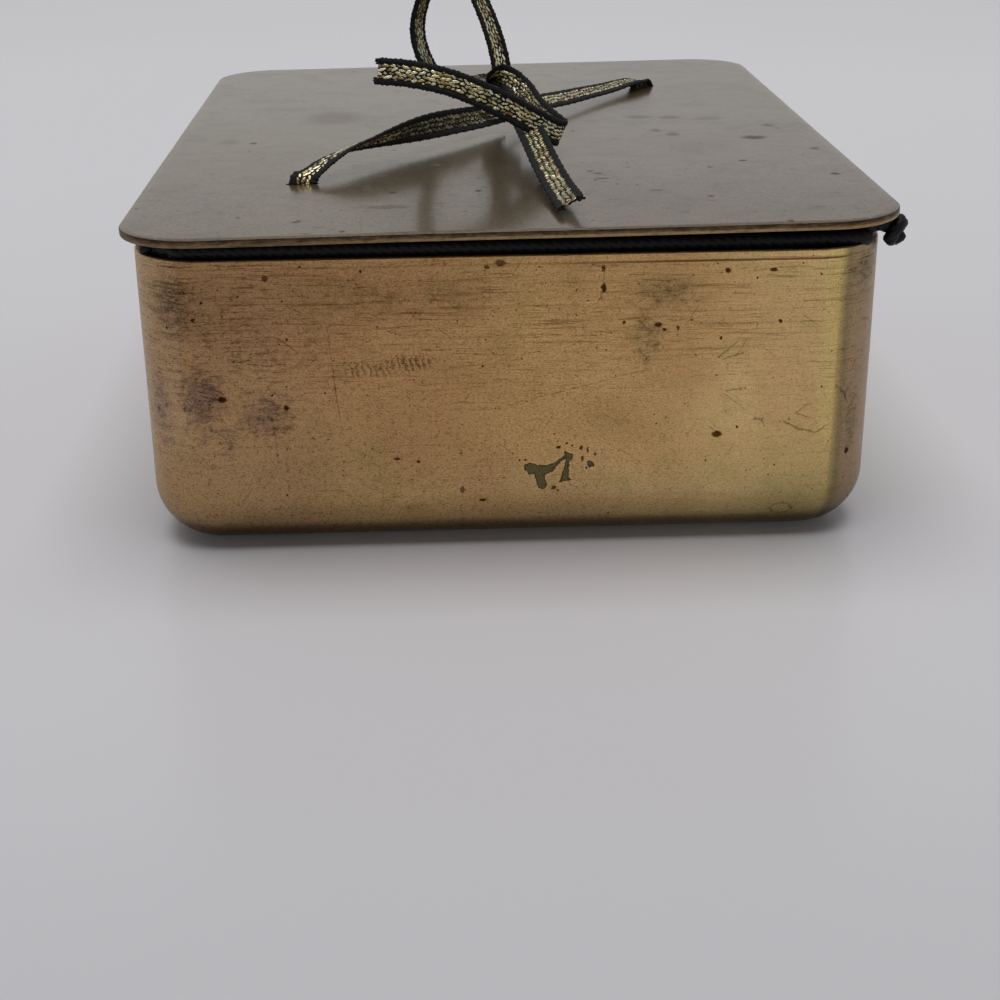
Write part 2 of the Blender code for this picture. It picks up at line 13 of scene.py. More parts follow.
import bmesh
import bpy
import numpy as np
from mathutils import Matrix, Vector, noise
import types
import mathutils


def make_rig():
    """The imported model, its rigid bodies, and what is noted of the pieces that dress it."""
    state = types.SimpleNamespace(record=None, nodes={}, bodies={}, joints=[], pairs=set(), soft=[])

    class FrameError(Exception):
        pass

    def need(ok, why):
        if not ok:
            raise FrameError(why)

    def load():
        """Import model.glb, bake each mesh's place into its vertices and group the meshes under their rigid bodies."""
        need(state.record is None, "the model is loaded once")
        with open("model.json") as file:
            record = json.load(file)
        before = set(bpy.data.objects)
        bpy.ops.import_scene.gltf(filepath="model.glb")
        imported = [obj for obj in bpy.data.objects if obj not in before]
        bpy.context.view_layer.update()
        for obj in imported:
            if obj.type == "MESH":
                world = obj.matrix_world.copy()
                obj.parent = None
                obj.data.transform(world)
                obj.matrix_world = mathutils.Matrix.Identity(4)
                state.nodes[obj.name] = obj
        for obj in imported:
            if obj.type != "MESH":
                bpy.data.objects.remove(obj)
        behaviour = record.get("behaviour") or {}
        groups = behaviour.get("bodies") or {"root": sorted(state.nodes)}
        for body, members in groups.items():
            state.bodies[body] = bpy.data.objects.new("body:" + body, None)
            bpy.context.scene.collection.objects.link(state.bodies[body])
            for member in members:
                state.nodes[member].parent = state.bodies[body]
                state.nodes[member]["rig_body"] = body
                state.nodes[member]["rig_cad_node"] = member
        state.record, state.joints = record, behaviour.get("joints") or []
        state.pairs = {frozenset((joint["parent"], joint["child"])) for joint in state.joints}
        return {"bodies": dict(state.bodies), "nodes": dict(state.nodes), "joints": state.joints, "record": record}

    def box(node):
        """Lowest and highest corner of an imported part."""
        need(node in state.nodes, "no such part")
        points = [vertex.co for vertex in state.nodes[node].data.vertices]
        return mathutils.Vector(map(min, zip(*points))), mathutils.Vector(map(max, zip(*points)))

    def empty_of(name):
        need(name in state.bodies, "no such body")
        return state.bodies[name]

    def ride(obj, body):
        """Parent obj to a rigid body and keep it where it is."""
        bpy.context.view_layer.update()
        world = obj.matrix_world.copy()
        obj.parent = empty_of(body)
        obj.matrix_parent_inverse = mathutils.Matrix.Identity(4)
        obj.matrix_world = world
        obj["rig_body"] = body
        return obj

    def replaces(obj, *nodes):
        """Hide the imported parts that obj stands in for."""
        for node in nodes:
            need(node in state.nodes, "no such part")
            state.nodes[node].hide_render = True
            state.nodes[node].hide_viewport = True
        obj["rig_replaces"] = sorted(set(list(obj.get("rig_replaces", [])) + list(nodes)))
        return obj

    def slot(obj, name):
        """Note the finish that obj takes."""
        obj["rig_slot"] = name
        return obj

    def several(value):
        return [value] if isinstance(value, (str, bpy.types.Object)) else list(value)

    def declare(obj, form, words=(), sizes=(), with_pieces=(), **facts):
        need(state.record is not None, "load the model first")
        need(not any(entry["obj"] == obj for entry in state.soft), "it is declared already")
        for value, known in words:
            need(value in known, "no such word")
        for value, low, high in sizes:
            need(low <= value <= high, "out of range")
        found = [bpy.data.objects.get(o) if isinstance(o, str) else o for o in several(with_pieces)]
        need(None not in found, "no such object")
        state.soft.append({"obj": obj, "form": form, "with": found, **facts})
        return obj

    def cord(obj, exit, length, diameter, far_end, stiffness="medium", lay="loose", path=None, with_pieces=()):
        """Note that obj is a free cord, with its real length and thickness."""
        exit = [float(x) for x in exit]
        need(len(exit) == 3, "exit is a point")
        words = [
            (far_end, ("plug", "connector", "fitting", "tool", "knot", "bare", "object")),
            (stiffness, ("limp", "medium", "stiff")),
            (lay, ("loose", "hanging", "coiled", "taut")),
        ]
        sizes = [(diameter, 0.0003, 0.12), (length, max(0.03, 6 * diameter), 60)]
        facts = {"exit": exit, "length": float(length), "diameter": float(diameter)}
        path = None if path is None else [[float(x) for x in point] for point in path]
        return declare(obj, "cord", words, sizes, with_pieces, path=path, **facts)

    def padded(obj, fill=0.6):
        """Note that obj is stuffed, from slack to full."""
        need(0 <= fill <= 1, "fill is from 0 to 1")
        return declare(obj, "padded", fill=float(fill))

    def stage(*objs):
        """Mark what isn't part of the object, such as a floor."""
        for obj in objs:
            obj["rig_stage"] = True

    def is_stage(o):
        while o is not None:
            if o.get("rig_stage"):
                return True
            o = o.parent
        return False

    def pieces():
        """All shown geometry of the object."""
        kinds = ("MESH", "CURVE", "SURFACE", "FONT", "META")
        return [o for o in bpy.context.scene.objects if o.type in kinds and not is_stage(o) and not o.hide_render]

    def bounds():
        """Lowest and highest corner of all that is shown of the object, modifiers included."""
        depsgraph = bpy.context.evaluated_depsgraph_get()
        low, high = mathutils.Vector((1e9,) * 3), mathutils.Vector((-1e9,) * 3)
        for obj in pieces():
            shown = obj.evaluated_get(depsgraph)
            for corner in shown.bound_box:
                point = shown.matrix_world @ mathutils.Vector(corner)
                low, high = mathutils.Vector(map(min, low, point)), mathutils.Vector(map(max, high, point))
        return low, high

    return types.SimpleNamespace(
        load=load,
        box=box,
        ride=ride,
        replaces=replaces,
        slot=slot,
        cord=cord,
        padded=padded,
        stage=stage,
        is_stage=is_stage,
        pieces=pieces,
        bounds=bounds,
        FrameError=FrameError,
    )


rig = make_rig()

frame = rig.load()
CAD_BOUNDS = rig.bounds()
MM = 0.001
CUT_DISTANCE = 0.001 * MM
CAP_ASIDE = 200  # mm between a flat end's place in the surface measure and the sides'

# The photograph's camera: where it stands, how it is turned, and its field of view
CAMERA_PLACE = Vector((-7.886, -226.857, 77.768)) * MM
CAMERA_HEADING = math.radians(2.128)
CAMERA_DOWN = math.radians(22.768)
CAMERA_ROLL = math.radians(-0.609)
CAMERA_LENS_MM = 61.26
CAMERA_SENSOR_MM = 36.0

# The lamp and the table, in metres
LAMP_PLACE = (-0.03, 0.0, 1.2)
LAMP_TARGET = (-0.03, 0.001, 0.0)
LAMP_SIZE = 0.95
LAMP_POWER = 9.2
LAMP_COLOUR = (1.0, 0.99, 0.97)
TABLE_RADIUS = 6.0

# The pan and the lid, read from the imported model
BODY_LOW, BODY_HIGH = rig.box("box_body")
BODY_WIDTH = BODY_HIGH.x - BODY_LOW.x
BODY_DEPTH = BODY_HIGH.y - BODY_LOW.y
BODY_HEIGHT = BODY_HIGH.z
BODY_WALL = 0.6 * MM
BODY_CORNER_RADIUS = 8.0 * MM
BODY_ROLL_RADIUS = 6.3 * MM
SEAT_GAP = 0.3 * MM
LID_LOW, LID_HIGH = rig.box("lid_plate")
LID_WIDTH = BODY_WIDTH + 3.0 * MM
LID_DEPTH = LID_HIGH.y - LID_LOW.y
LID_THICKNESS = 0.85 * MM
LID_CORNER_RADIUS = 8.5 * MM
LID_TILT = math.asin((LID_HIGH.z - LID_LOW.z - LID_THICKNESS) / LID_WIDTH)
LID_FRAME = Matrix.Translation(
    ((LID_LOW.x + LID_HIGH.x) / 2, 0, (LID_LOW.z + LID_HIGH.z - LID_THICKNESS) / 2)
) @ Matrix.Rotation(-LID_TILT, 4, "Y")
LID_TOP = LID_FRAME @ Matrix.Translation((0, 0, LID_THICKNESS))

# The soft trim
LINING_LOW, LINING_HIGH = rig.box("wall_lining")
LINING_INSET = BODY_WALL + SEAT_GAP
LINING_THICKNESS = 1.8 * MM
PAD_LOW, PAD_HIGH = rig.box("base_pad")
CORD_DIAMETER = 1.8 * MM
CORD_RADIUS = CORD_DIAMETER / 2
STRAND_SHARE = 0.78  # a strand's radius as a part of the cord's
CORD_LAY = 3.4 * MM
CORD_STEP = 0.3 * MM
CORD_KNOT_REACH = 9 * MM
CORD_INSET = LINING_INSET + CORD_RADIUS
CORD_LOW_Z = BODY_HEIGHT + 1.35 * MM - CORD_RADIUS
CORD_HIGH_Z = BODY_HEIGHT + SEAT_GAP + CORD_RADIUS
PANEL_THICKNESS = 2.0 * MM
PANEL_INSET = CORD_INSET + CORD_RADIUS + 0.6 * MM

# The ribbon and its way through the lid, in mm
RIBBON_WIDTH = 3.2
RIBBON_THICKNESS = 0.35
SLIT_X = 23.3
SLIT_Y = 31.0
SLIT_WIDTH = 0.95
SLIT_ENDS = 0.6
CHANNEL_WIDTH = 5.3
CHANNEL_DEPTH = 0.65
CHANNEL_ENDS = 8.5
KNOT = (1.1, 0.4, 4.5)
UNDER_RUN_Z = -(LID_THICKNESS + SEAT_GAP) / MM - RIBBON_THICKNESS / 2
GOLD_HALF = 0.92  # half the width of the gold between the selvedges
KNOB_PITCH = 0.56
SCALLOP_PITCH = 1.15
ROUTE_STEP = 0.4
BAND_STEP = 0.13
BAND_COLUMNS = 37


# Meshes


def linked(name, data):
    """A new object with this data, in the scene."""
    made = bpy.data.objects.new(name, data)
    bpy.context.scene.collection.objects.link(made)
    return made


def opened(thing):
    """An object's mesh, opened for editing."""
    bm = bmesh.new()
    bm.from_mesh(thing.data)
    return bm


def closed(bm, mesh):
    """The mesh takes the edited shape."""
    bm.to_mesh(mesh)
    bm.free()
    return mesh


def mesh_object(name, vertices, faces, materials, uv=None):
    """A new object from vertices and faces. uv gives each vertex of each face its place in mm."""
    mesh = bpy.data.meshes.new(name)
    mesh.from_pydata([tuple(v) for v in vertices], [], faces)
    if uv is not None:
        layer = mesh.uv_layers.new(name="surface")
        flat = np.array([place for face in uv for place in face], np.float32)
        layer.data.foreach_set("uv", flat.ravel())
    for material in materials:
        mesh.materials.append(material)
    mesh.validate()
    mesh.shade_smooth()
    return linked(name, mesh)


def ring_faces(rows, around, flipped=False):
    """The faces between rings of vertices, and one across each end."""
    base = np.arange(rows - 1)[:, None] * around
    column = np.arange(around)[None, :]
    after = (column + 1) % around
    corners = [base + column, base + after, base + around + after, base + around + column]
    first = tuple(range(around))
    last = tuple(range((rows - 1) * around, rows * around))
    ends = [first[::-1], last]
    if flipped:
        corners = [corners[i] for i in (0, 3, 2, 1)]
        ends = [first, last[::-1]]
    return [tuple(quad) for quad in np.stack(corners, axis=-1).reshape(-1, 4).tolist()] + ends


def rounded_outline(width, depth, radius, corner_steps, side_step):
    """Stations round a rounded rectangle, from the middle of the front towards the right.

    Each is the corner-centre rectangle's point, the outward direction, and the distance along.
    """
    half_x = width / 2 - radius
    half_y = depth / 2 - radius
    sides = [
        ((0, -half_y), (half_x, -half_y), -90),
        ((half_x, -half_y), (half_x, half_y), 0),
        ((half_x, half_y), (-half_x, half_y), 90),
        ((-half_x, half_y), (-half_x, -half_y), 180),
        ((-half_x, -half_y), (0, -half_y), 270),
    ]
    stations = []
    travelled = 0.0
    for index, (start, end, heading) in enumerate(sides):
        start, end = Vector(start), Vector(end)
        length = (end - start).length
        count = max(1, round(length / side_step))
        angle = math.radians(heading)
        outward = Vector((math.cos(angle), math.sin(angle)))
        for step in range(count + (index == 4)):
            part = step / count
            stations.append((start.lerp(end, part), outward, travelled + length * part))
        travelled += length
        if index == 4:
            break
        for step in range(corner_steps):
            turn = angle + math.pi / 2 * step / corner_steps
            outward = Vector((math.cos(turn), math.sin(turn)))
            along = travelled + radius * math.pi / 2 * step / corner_steps
            stations.append((end, outward, along))
        travelled += radius * math.pi / 2
    return stations[:-1], travelled


def pan_outline(inset, corner_steps, side_step):
    """The pan's outline drawn in by inset, and the radius of its corners there."""
    width = BODY_WIDTH - 2 * inset
    depth = BODY_DEPTH - 2 * inset
    radius = BODY_CORNER_RADIUS - inset
    return rounded_outline(width, depth, radius, corner_steps, side_step), radius


def loft(name, outline, radius, profile, materials, caps=True, bend=None):
    """Rings of an outline joined up a profile of (inset, height, distance up the surface)."""
    stations, around = outline
    count = len(stations)
    *faces, bottom, top = ring_faces(len(profile), count)
    vertices = []
    for inset, height, _ in profile:
        for centre, outward, _ in stations:
            place = centre + outward * (radius - inset)
            vertices.append(Vector((place.x, place.y, height)))
    if bend:
        vertices = [bend(v) for v in vertices]
    uv = []
    distances = [station[2] for station in stations] + [around]
    heights = [point[2] for point in profile]
    for low, high in zip(heights, heights[1:]):
        for left, right in zip(distances, distances[1:]):
            if left > around / 2:
                left, right = left - around, right - around
            corners = ((left, low), (right, low), (right, high), (left, high))
            uv.append([(u / MM, v / MM) for u, v in corners])
    if caps:
        for face, aside in ((bottom, -CAP_ASIDE), (top, CAP_ASIDE)):
            faces.append(face)
            uv.append([(vertices[i].x / MM, vertices[i].y / MM + aside) for i in face])
    return mesh_object(name, vertices, faces, materials, uv)


def arc(centre_inset, centre_z, radius, start, end, steps):
    """Points of a profile's round stretch. Degrees: 0 points in, 90 up, 180 out, 270 down."""
    points = []
    for step in range(steps + 1):
        angle = math.radians(start + (end - start) * step / steps)
        out = radius * math.cos(angle)
        points.append((centre_inset + out, centre_z + radius * math.sin(angle)))
    return points


def line(start, end, step):
    """Points from start up to but not including end, about step apart."""
    start, end = Vector(start), Vector(end)
    count = max(1, round((end - start).length / step))
    return [tuple(start.lerp(end, part / count)) for part in range(count)]


def measured(points, start=0.0):
    """A profile's points with the distance travelled up the surface."""
    profile = []
    travelled = start
    before = points[0]
    for point in points:
        travelled += math.dist(before, point)
        profile.append((*point, travelled))
        before = point
    return profile


def sheet_edge(inner, bottom, top, edge, steps):
    """A sheet's profile from its lower face round a burnished edge to its upper one."""
    below = arc(edge, bottom + edge, edge, 270, 180, steps)
    above = arc(edge, top - edge, edge, 180, 90, steps)
    return [(inner, bottom), *below, *above, (inner, top)]


def subtract(target, cutter):
    """Cut the shape of one object out of another, and remove the first."""
    modifier = target.modifiers.new("cut_" + cutter.name, "BOOLEAN")
    modifier.operation = "DIFFERENCE"
    modifier.solver = "EXACT"
    modifier.object = cutter
    applied(target)
    bpy.data.objects.remove(cutter, do_unlink=True)


def applied(thing):
    """Replace the object's mesh by what its modifiers make of it."""
    depsgraph = bpy.context.evaluated_depsgraph_get()
    depsgraph.update()
    mesh = bpy.data.meshes.new_from_object(
        thing.evaluated_get(depsgraph), preserve_all_data_layers=True, depsgraph=depsgraph
    )
    thing.modifiers.clear()
    thing.data = mesh


# Materials


class Nodes:
    """The node tree of a material or a world, with short names for the nodes used here."""

    def __init__(self, name, kind="materials", shader="Principled BSDF"):
        self.owner = getattr(bpy.data, kind).new(name)
        self.owner.use_nodes = True
        self.tree = self.owner.node_tree
        self.shader = self.tree.nodes[shader]

    def put(self, value, socket):
        if isinstance(value, bpy.types.NodeSocket):
            self.tree.links.new(value, socket)
        elif socket.type == "RGBA" and len(value) == 3:
            socket.default_value = (*value, 1.0)
        else:
            socket.default_value = value

    def add(self, kind, inputs=None, **settings):
        node = self.tree.nodes.new(kind)
        for key, value in settings.items():
            setattr(node, key, value)
        for key, value in (inputs or {}).items():
            self.put(value, node.inputs[key])
        return node

    def math(self, operation, a, b=0.0, c=0.0):
        node = self.add("ShaderNodeMath", {0: a, 1: b, 2: c}, operation=operation)
        return node.outputs[0]

    def vector(self, operation, a, b=(0, 0, 0), c=(0, 0, 0)):
        node = self.add("ShaderNodeVectorMath", {0: a, 1: b, 2: c}, operation=operation)
        return node.outputs["Value" if operation in ("LENGTH", "DOT_PRODUCT") else "Vector"]

    def product(self, *values):
        total = values[0]
        for value in values[1:]:
            total = self.math("MULTIPLY", total, value)
        return total

    def most(self, *values):
        total = values[0]
        for value in values[1:]:
            total = self.math("MAXIMUM", total, value)
        return total

    def surface(self):
        return self.add("ShaderNodeUVMap", uv_map="surface").outputs["UV"]

    def object_mm(self):
        place = self.add("ShaderNodeTexCoord").outputs["Object"]
        return self.stretched(place, (1 / MM, 1 / MM, 1 / MM))

    def parts(self, vector):
        return self.add("ShaderNodeSeparateXYZ", {0: vector}).outputs

    def stretched(self, vector, scale, shift=(0, 0, 0)):
        return self.vector("MULTIPLY_ADD", vector, scale, shift)

    def turned(self, vector, degrees):
        inputs = {"Vector": vector, "Angle": math.radians(degrees)}
        return self.add("ShaderNodeVectorRotate", inputs, rotation_type="Z_AXIS").outputs[0]

    def noise(self, vector, scale, detail=3.0, roughness=0.55, distortion=0.0):
        names = ("Vector", "Scale", "Detail", "Roughness", "Distortion")
        inputs = zip(names, (vector, scale, detail, roughness, distortion))
        return self.add("ShaderNodeTexNoise", dict(inputs)).outputs["Fac"]

    def warped(self, vector, scale, reach):
        """The vector shifted up to half of reach each way by noise."""
        shift = self.add("ShaderNodeTexNoise", {"Vector": vector, "Scale": scale, "Detail": 3.0})
        offset = self.stretched(shift.outputs["Color"], (reach,) * 3, (-reach / 2,) * 3)
        return self.vector("MULTIPLY", self.vector("ADD", vector, offset), (1, 1, 0))

    def range(self, value, low, high, to_low=0.0, to_high=1.0):
        """to_low where the value is low, to_high where it is high, and smooth between them."""
        names = ("Value", "From Min", "From Max", "To Min", "To Max")
        inputs = dict(zip(names, (value, low, high, to_low, to_high)))
        node = self.add("ShaderNodeMapRange", inputs, interpolation_type="SMOOTHSTEP")
        return node.outputs["Result"]

    def mix(self, factor, a, b):
        node = self.add("ShaderNodeMix", {0: factor, 6: a, 7: b}, data_type="RGBA")
        return node.outputs[2]

    def darker(self, colour, factor, depth):
        """The colour multiplied by 1 - depth where the factor is 1."""
        level = self.math("MULTIPLY_ADD", factor, -depth, 1.0)
        node = self.add("ShaderNodeVectorMath", {0: colour, "Scale": level}, operation="SCALE")
        return node.outputs[0]

    def tinted(self, colour, factor, tint):
        """The colour multiplied by the tint where the factor is 1."""
        return self.mix(factor, colour, self.vector("MULTIPLY", colour, tint))

    def layered(self, colour, *layers):
        """The colour tinted by each (factor, tint) in turn."""
        for factor, tint in layers:
            colour = self.tinted(colour, factor, tint)
        return colour

    def calmed(self, noise, calm):
        """The noise, faded to its middle value where calm falls to 0."""
        return self.math("MULTIPLY_ADD", self.math("SUBTRACT", noise, 0.5), calm, 0.5)

    def spots(self, vector, marks, softness):
        """A mask that is 1 inside the marks, each (x, y, radius across, radius up, strength)."""
        total = None
        for x, y, across, up, strength in marks:
            scaled = self.stretched(vector, (1 / across, 1 / up, 0), (-x / across, -y / up, 0))
            away = self.vector("LENGTH", scaled)
            mask = self.range(away, 1 + softness, 1 - softness, 0.0, strength)
            total = mask if total is None else self.most(total, mask)
        return total

    def strokes(self, vector, marks):
        """The distance outside round-ended strokes, each (start, end, start and end radius)."""
        total = None
        for start, end, first, last in marks:
            run = Vector(end) - Vector(start)
            away = self.vector("SUBTRACT", vector, (*start, 0))
            part = self.vector("DOT_PRODUCT", away, (*(run / run.length_squared), 0))
            part = self.add("ShaderNodeClamp", {0: part}).outputs[0]
            nearest = self.add(
                "ShaderNodeVectorMath", {0: (*run, 0), "Scale": part}, operation="SCALE"
            ).outputs[0]
            distance = self.vector("LENGTH", self.vector("SUBTRACT", away, nearest))
            radius = self.math("MULTIPLY_ADD", part, last - first, first)
            outside = self.math("SUBTRACT", distance, radius)
            if total is None:
                total = outside
            else:
                total = self.math("SMOOTH_MIN", total, outside, 0.25)
        return total

    def stained(self, soft, cloud):
        """A mask with a broken, cloudy edge, from one that fades evenly."""
        field = self.math("MULTIPLY_ADD", cloud, 1.9, soft)
        return self.range(field, 1.25, 2.0)

    def pits(self, vector, spacing, size, share, seed):
        """Small dark holes, one in some cells of a grid about spacing apart."""
        place = self.stretched(vector, (1, 1, 0), (seed, seed * 2.3, 0))
        cell = self.add("ShaderNodeTexVoronoi", {"Vector": place, "Scale": 1 / spacing})
        chosen = self.add("ShaderNodeSeparateColor", {0: cell.outputs["Color"]})
        radius = self.range(chosen.outputs[0], 1 - share, 1.0, 0.0, size / spacing)
        gap = self.math("SUBTRACT", cell.outputs["Distance"], radius)
        inside = self.range(gap, 0.1 * size / spacing, -0.3 * size / spacing)
        return self.math("MULTIPLY", inside, self.math("GREATER_THAN", radius, 0.004))

    def hairlines(self, vector, degrees, seed, least=0.66):
        """Fine scratches at an angle, in some places more than in others."""
        turned = self.turned(vector, degrees)
        thin = self.stretched(turned, (0.17, 5.5, 1), (seed, seed * 1.7, 0))
        thin = self.noise(thin, 1.0, 2.0, 0.45)
        where = self.noise(self.stretched(turned, (0.10, 0.30, 1), (seed * 3, seed, 0)), 1.0, 2.0)
        line = self.range(thin, least, least + 0.05)
        return self.math("MULTIPLY", line, self.range(where, 0.48, 0.62))

    def bump(self, height, distance_mm, strength=1.0, normal=None):
        inputs = {"Height": height, "Distance": distance_mm * MM, "Strength": strength}
        if normal is not None:
            inputs["Normal"] = normal
        return self.add("ShaderNodeBump", inputs).outputs["Normal"]

    def finish(self, **inputs):
        for key, value in inputs.items():
            self.put(value, self.shader.inputs[key.replace("_", " ")])
        return self.owner


# The metal's tones
ROSY_BRASS = (0.598, 0.352, 0.158)
YELLOW_BRASS = (0.705, 0.478, 0.208)
# Worn brass with a painted highlight, for the start of the right corner
WORN_HIGHLIGHT_BRASS = (0.74, 0.60, 0.22)
SHADED_BRASS = (0.310, 0.216, 0.142)
OLIVE_PATINA = (0.285, 0.232, 0.138)
ROSY_PATINA = (0.235, 0.168, 0.108)
PALE_PATINA = (0.33, 0.27, 0.18)
DARK_MARK = (0.075, 0.050, 0.032)

# Marks on the front of the pan, in mm along from the middle and up. Strokes have two ends and
# the radius at each. Spots have half sizes and a strength.
WEAR_PATCH = (
    ((1.75, 9.35), (2.1, 9.1), 0.55, 0.62),
    ((2.1, 9.1), (3.0, 8.9), 0.5, 0.66),
    ((3.0, 8.9), (4.0, 9.15), 0.6, 0.44),
    ((4.0, 9.15), (4.9, 9.95), 0.42, 0.16),
    ((4.9, 9.95), (5.5, 10.4), 0.12, 0.2),
    ((2.8, 8.6), (3.1, 7.25), 0.5, 0.52),
    ((5.75, 10.95), (6.1, 10.5), 0.14, 0.38),
    ((6.1, 10.5), (5.85, 9.8), 0.36, 0.18),
    ((5.85, 9.8), (5.75, 8.9), 0.18, 0.3),
    ((5.75, 8.9), (5.6, 8.1), 0.3, 0.42),
    ((5.6, 8.0), (5.0, 7.5), 0.24, 0.06),
    ((5.7, 7.9), (6.4, 7.8), 0.22, 0.07),
    ((8.3, 9.7), (8.5, 9.5), 0.28, 0.3),
    ((7.9, 9.2), (8.0, 9.1), 0.14, 0.14),
)
FINE_CRACKS = (
    ((29.3, 14.0), (30.8, 13.2), 0.07, 0.12),
    ((30.8, 13.2), (32.9, 12.6), 0.12, 0.09),
    ((32.9, 12.6), (34.4, 13.4), 0.09, 0.05),
    ((31.9, 16.0), (30.6, 14.9), 0.05, 0.09),
    ((30.6, 14.9), (32.6, 14.2), 0.09, 0.05),
    ((34.9, 17.9), (36.2, 16.7), 0.08, 0.2),
    ((36.2, 16.7), (37.2, 17.8), 0.2, 0.05),
    ((36.2, 16.7), (36.9, 15.2), 0.14, 0.06),
    ((37.6, 20.2), (37.0, 19.2), 0.08, 0.05),
    ((26.1, 14.4), (26.9, 14.3), 0.09, 0.14),
    ((26.9, 14.3), (27.3, 13.5), 0.14, 0.07),
    ((22.8, 17.6), (25.0, 18.0), 0.04, 0.12),
    ((-19.4, 25.4), (-18.8, 17.6), 0.05, 0.07),
    ((-18.8, 17.6), (-18.3, 13.6), 0.06, 0.02),
    ((-25.6, 14.8), (-25.4, 10.6), 0.04, 0.07),
    ((-0.8, 16.5), (6.5, 18.3), 0.02, 0.05),
    ((6.5, 18.3), (14.0, 20.2), 0.05, 0.02),
    ((21.9, 21.4), (24.0, 23.2), 0.1, 0.05),
    ((22.4, 21.2), (24.6, 21.9), 0.05, 0.12),
    ((9.7, 31.6), (9.4, 27.9), 0.06, 0.04),
    ((9.6, 29.0), (8.9, 27.6), 0.16, 0.05),
    ((-34.9, 25.8), (-31.0, 26.4), 0.03, 0.07),
    ((-31.0, 26.4), (-27.8, 26.3), 0.07, 0.02),
    ((-32.5, 23.9), (-26.0, 24.6), 0.03, 0.06),
    ((-30.0, 22.2), (-25.6, 21.5), 0.02, 0.07),
    ((-34.6, 30.6), (-30.8, 31.0), 0.06, 0.03),
    ((-28.4, 31.2), (-25.6, 30.8), 0.03, 0.08),
)
LEFT_STAINS = (
    (-33.2, 18.0, 2.4, 3.6, 1.0),
    (-33.6, 21.8, 2.6, 3.0, 0.4),
    (-31.6, 13.4, 3.4, 3.0, 0.6),
    (-26.2, 16.0, 3.2, 2.6, 0.9),
    (-35.4, 28.2, 3.2, 3.6, 1.0),
    (-27.5, 22.6, 6.2, 3.4, 0.42),
    (-38.6, 16.0, 2.4, 6.0, 0.7),
)
MOTTLED = (
    (-28.0, 24.0, 9.0, 4.2, 1.0),
    (-12.0, 29.0, 9.0, 2.6, 0.8),
    (-26.5, 16.0, 4.0, 3.4, 0.9),
    (-33.0, 14.0, 4.0, 4.0, 0.7),
    (-12.0, 7.5, 8.0, 3.4, 0.5),
    (14.5, 24.0, 3.6, 5.0, 0.6),
)
RIGHT_STAINS = (
    (16.4, 28.8, 3.6, 2.0, 0.8),
    (14.2, 24.2, 1.8, 3.8, 0.7),
    (21.2, 25.0, 2.6, 1.3, 0.5),
    (38.5, 30.5, 2.4, 2.8, 0.9),
    (37.6, 13.5, 1.2, 4.5, 0.8),
)
SMUDGES = (
    (-32.5, 28.0, 6.0, 4.6, 0.8),
    (-18.0, 28.8, 8.0, 3.0, 0.8),
    (-6.5, 28.8, 6.0, 2.4, 0.6),
    (-18.0, 10.0, 6.5, 5.0, 0.6),
    (16.0, 28.6, 4.0, 2.2, 0.5),
    (14.4, 24.0, 1.8, 3.6, 0.4),
    (12.0, 14.2, 6.0, 1.8, 0.4),
)
DARK_SPOTS = (
    (22.1, 12.7, 0.58, 0.36, 1.0),
    (22.6, 30.9, 0.28, 0.34, 1.0),
    (27.4, 30.9, 0.38, 0.2, 1.0),
    (28.4, 25.3, 0.22, 0.2, 1.0),
    (15.4, 25.2, 0.42, 0.24, 1.0),
    (16.1, 24.6, 0.2, 0.18, 1.0),
    (17.5, 24.8, 0.14, 0.26, 0.9),
    (37.2, 9.8, 0.36, 0.34, 1.0),
    (9.6, 29.3, 0.3, 0.48, 1.0),
    (9.5, 31.4, 0.2, 0.3, 0.9),
    (-33.4, 26.7, 0.26, 0.26, 0.9),
    (-30.9, 17.9, 0.46, 0.34, 1.0),
    (-24.2, 16.8, 0.28, 0.32, 1.0),
    (-25.6, 31.0, 0.3, 0.3, 0.8),
    (-1.2, 32.2, 0.6, 0.32, 0.8),
    (-2.6, 31.8, 0.3, 0.2, 0.8),
    (4.9, 11.6, 0.26, 0.16, 1.0),
    (6.4, 11.8, 0.14, 0.13, 1.0),
    (7.4, 11.5, 0.2, 0.22, 0.9),
    (8.1, 11.2, 0.13, 0.3, 0.9),
    (8.9, 10.7, 0.14, 0.14, 0.9),
    (7.5, 10.2, 0.14, 0.34, 0.9),
    (0.7, 10.2, 0.1, 0.2, 0.9),
    (1.3, 10.2, 0.14, 0.1, 0.9),
    (4.4, 6.9, 0.28, 0.2, 0.9),
    (-12.6, 10.7, 0.36, 0.16, 0.9),
    (-10.3, 10.3, 0.2, 0.22, 1.0),
    (-3.4, 5.6, 0.42, 0.2, 1.0),
    (-5.6, 6.9, 0.26, 0.34, 0.7),
)
RIPPLED = (
    (-35.2, 28.8, 0.9, 1.9, 1.0),
    (-32.6, 18.7, 1.3, 2.0, 0.9),
)
TICKED = (
    (-15.4, 20.7, 2.6, 0.8, 0.8),
    (-11.0, 21.6, 2.6, 0.8, 1.0),
)
RING_PLACE = (29.7, 3.4)
RING_SQUASH = 1.35
RING_RADIUS = 1.15
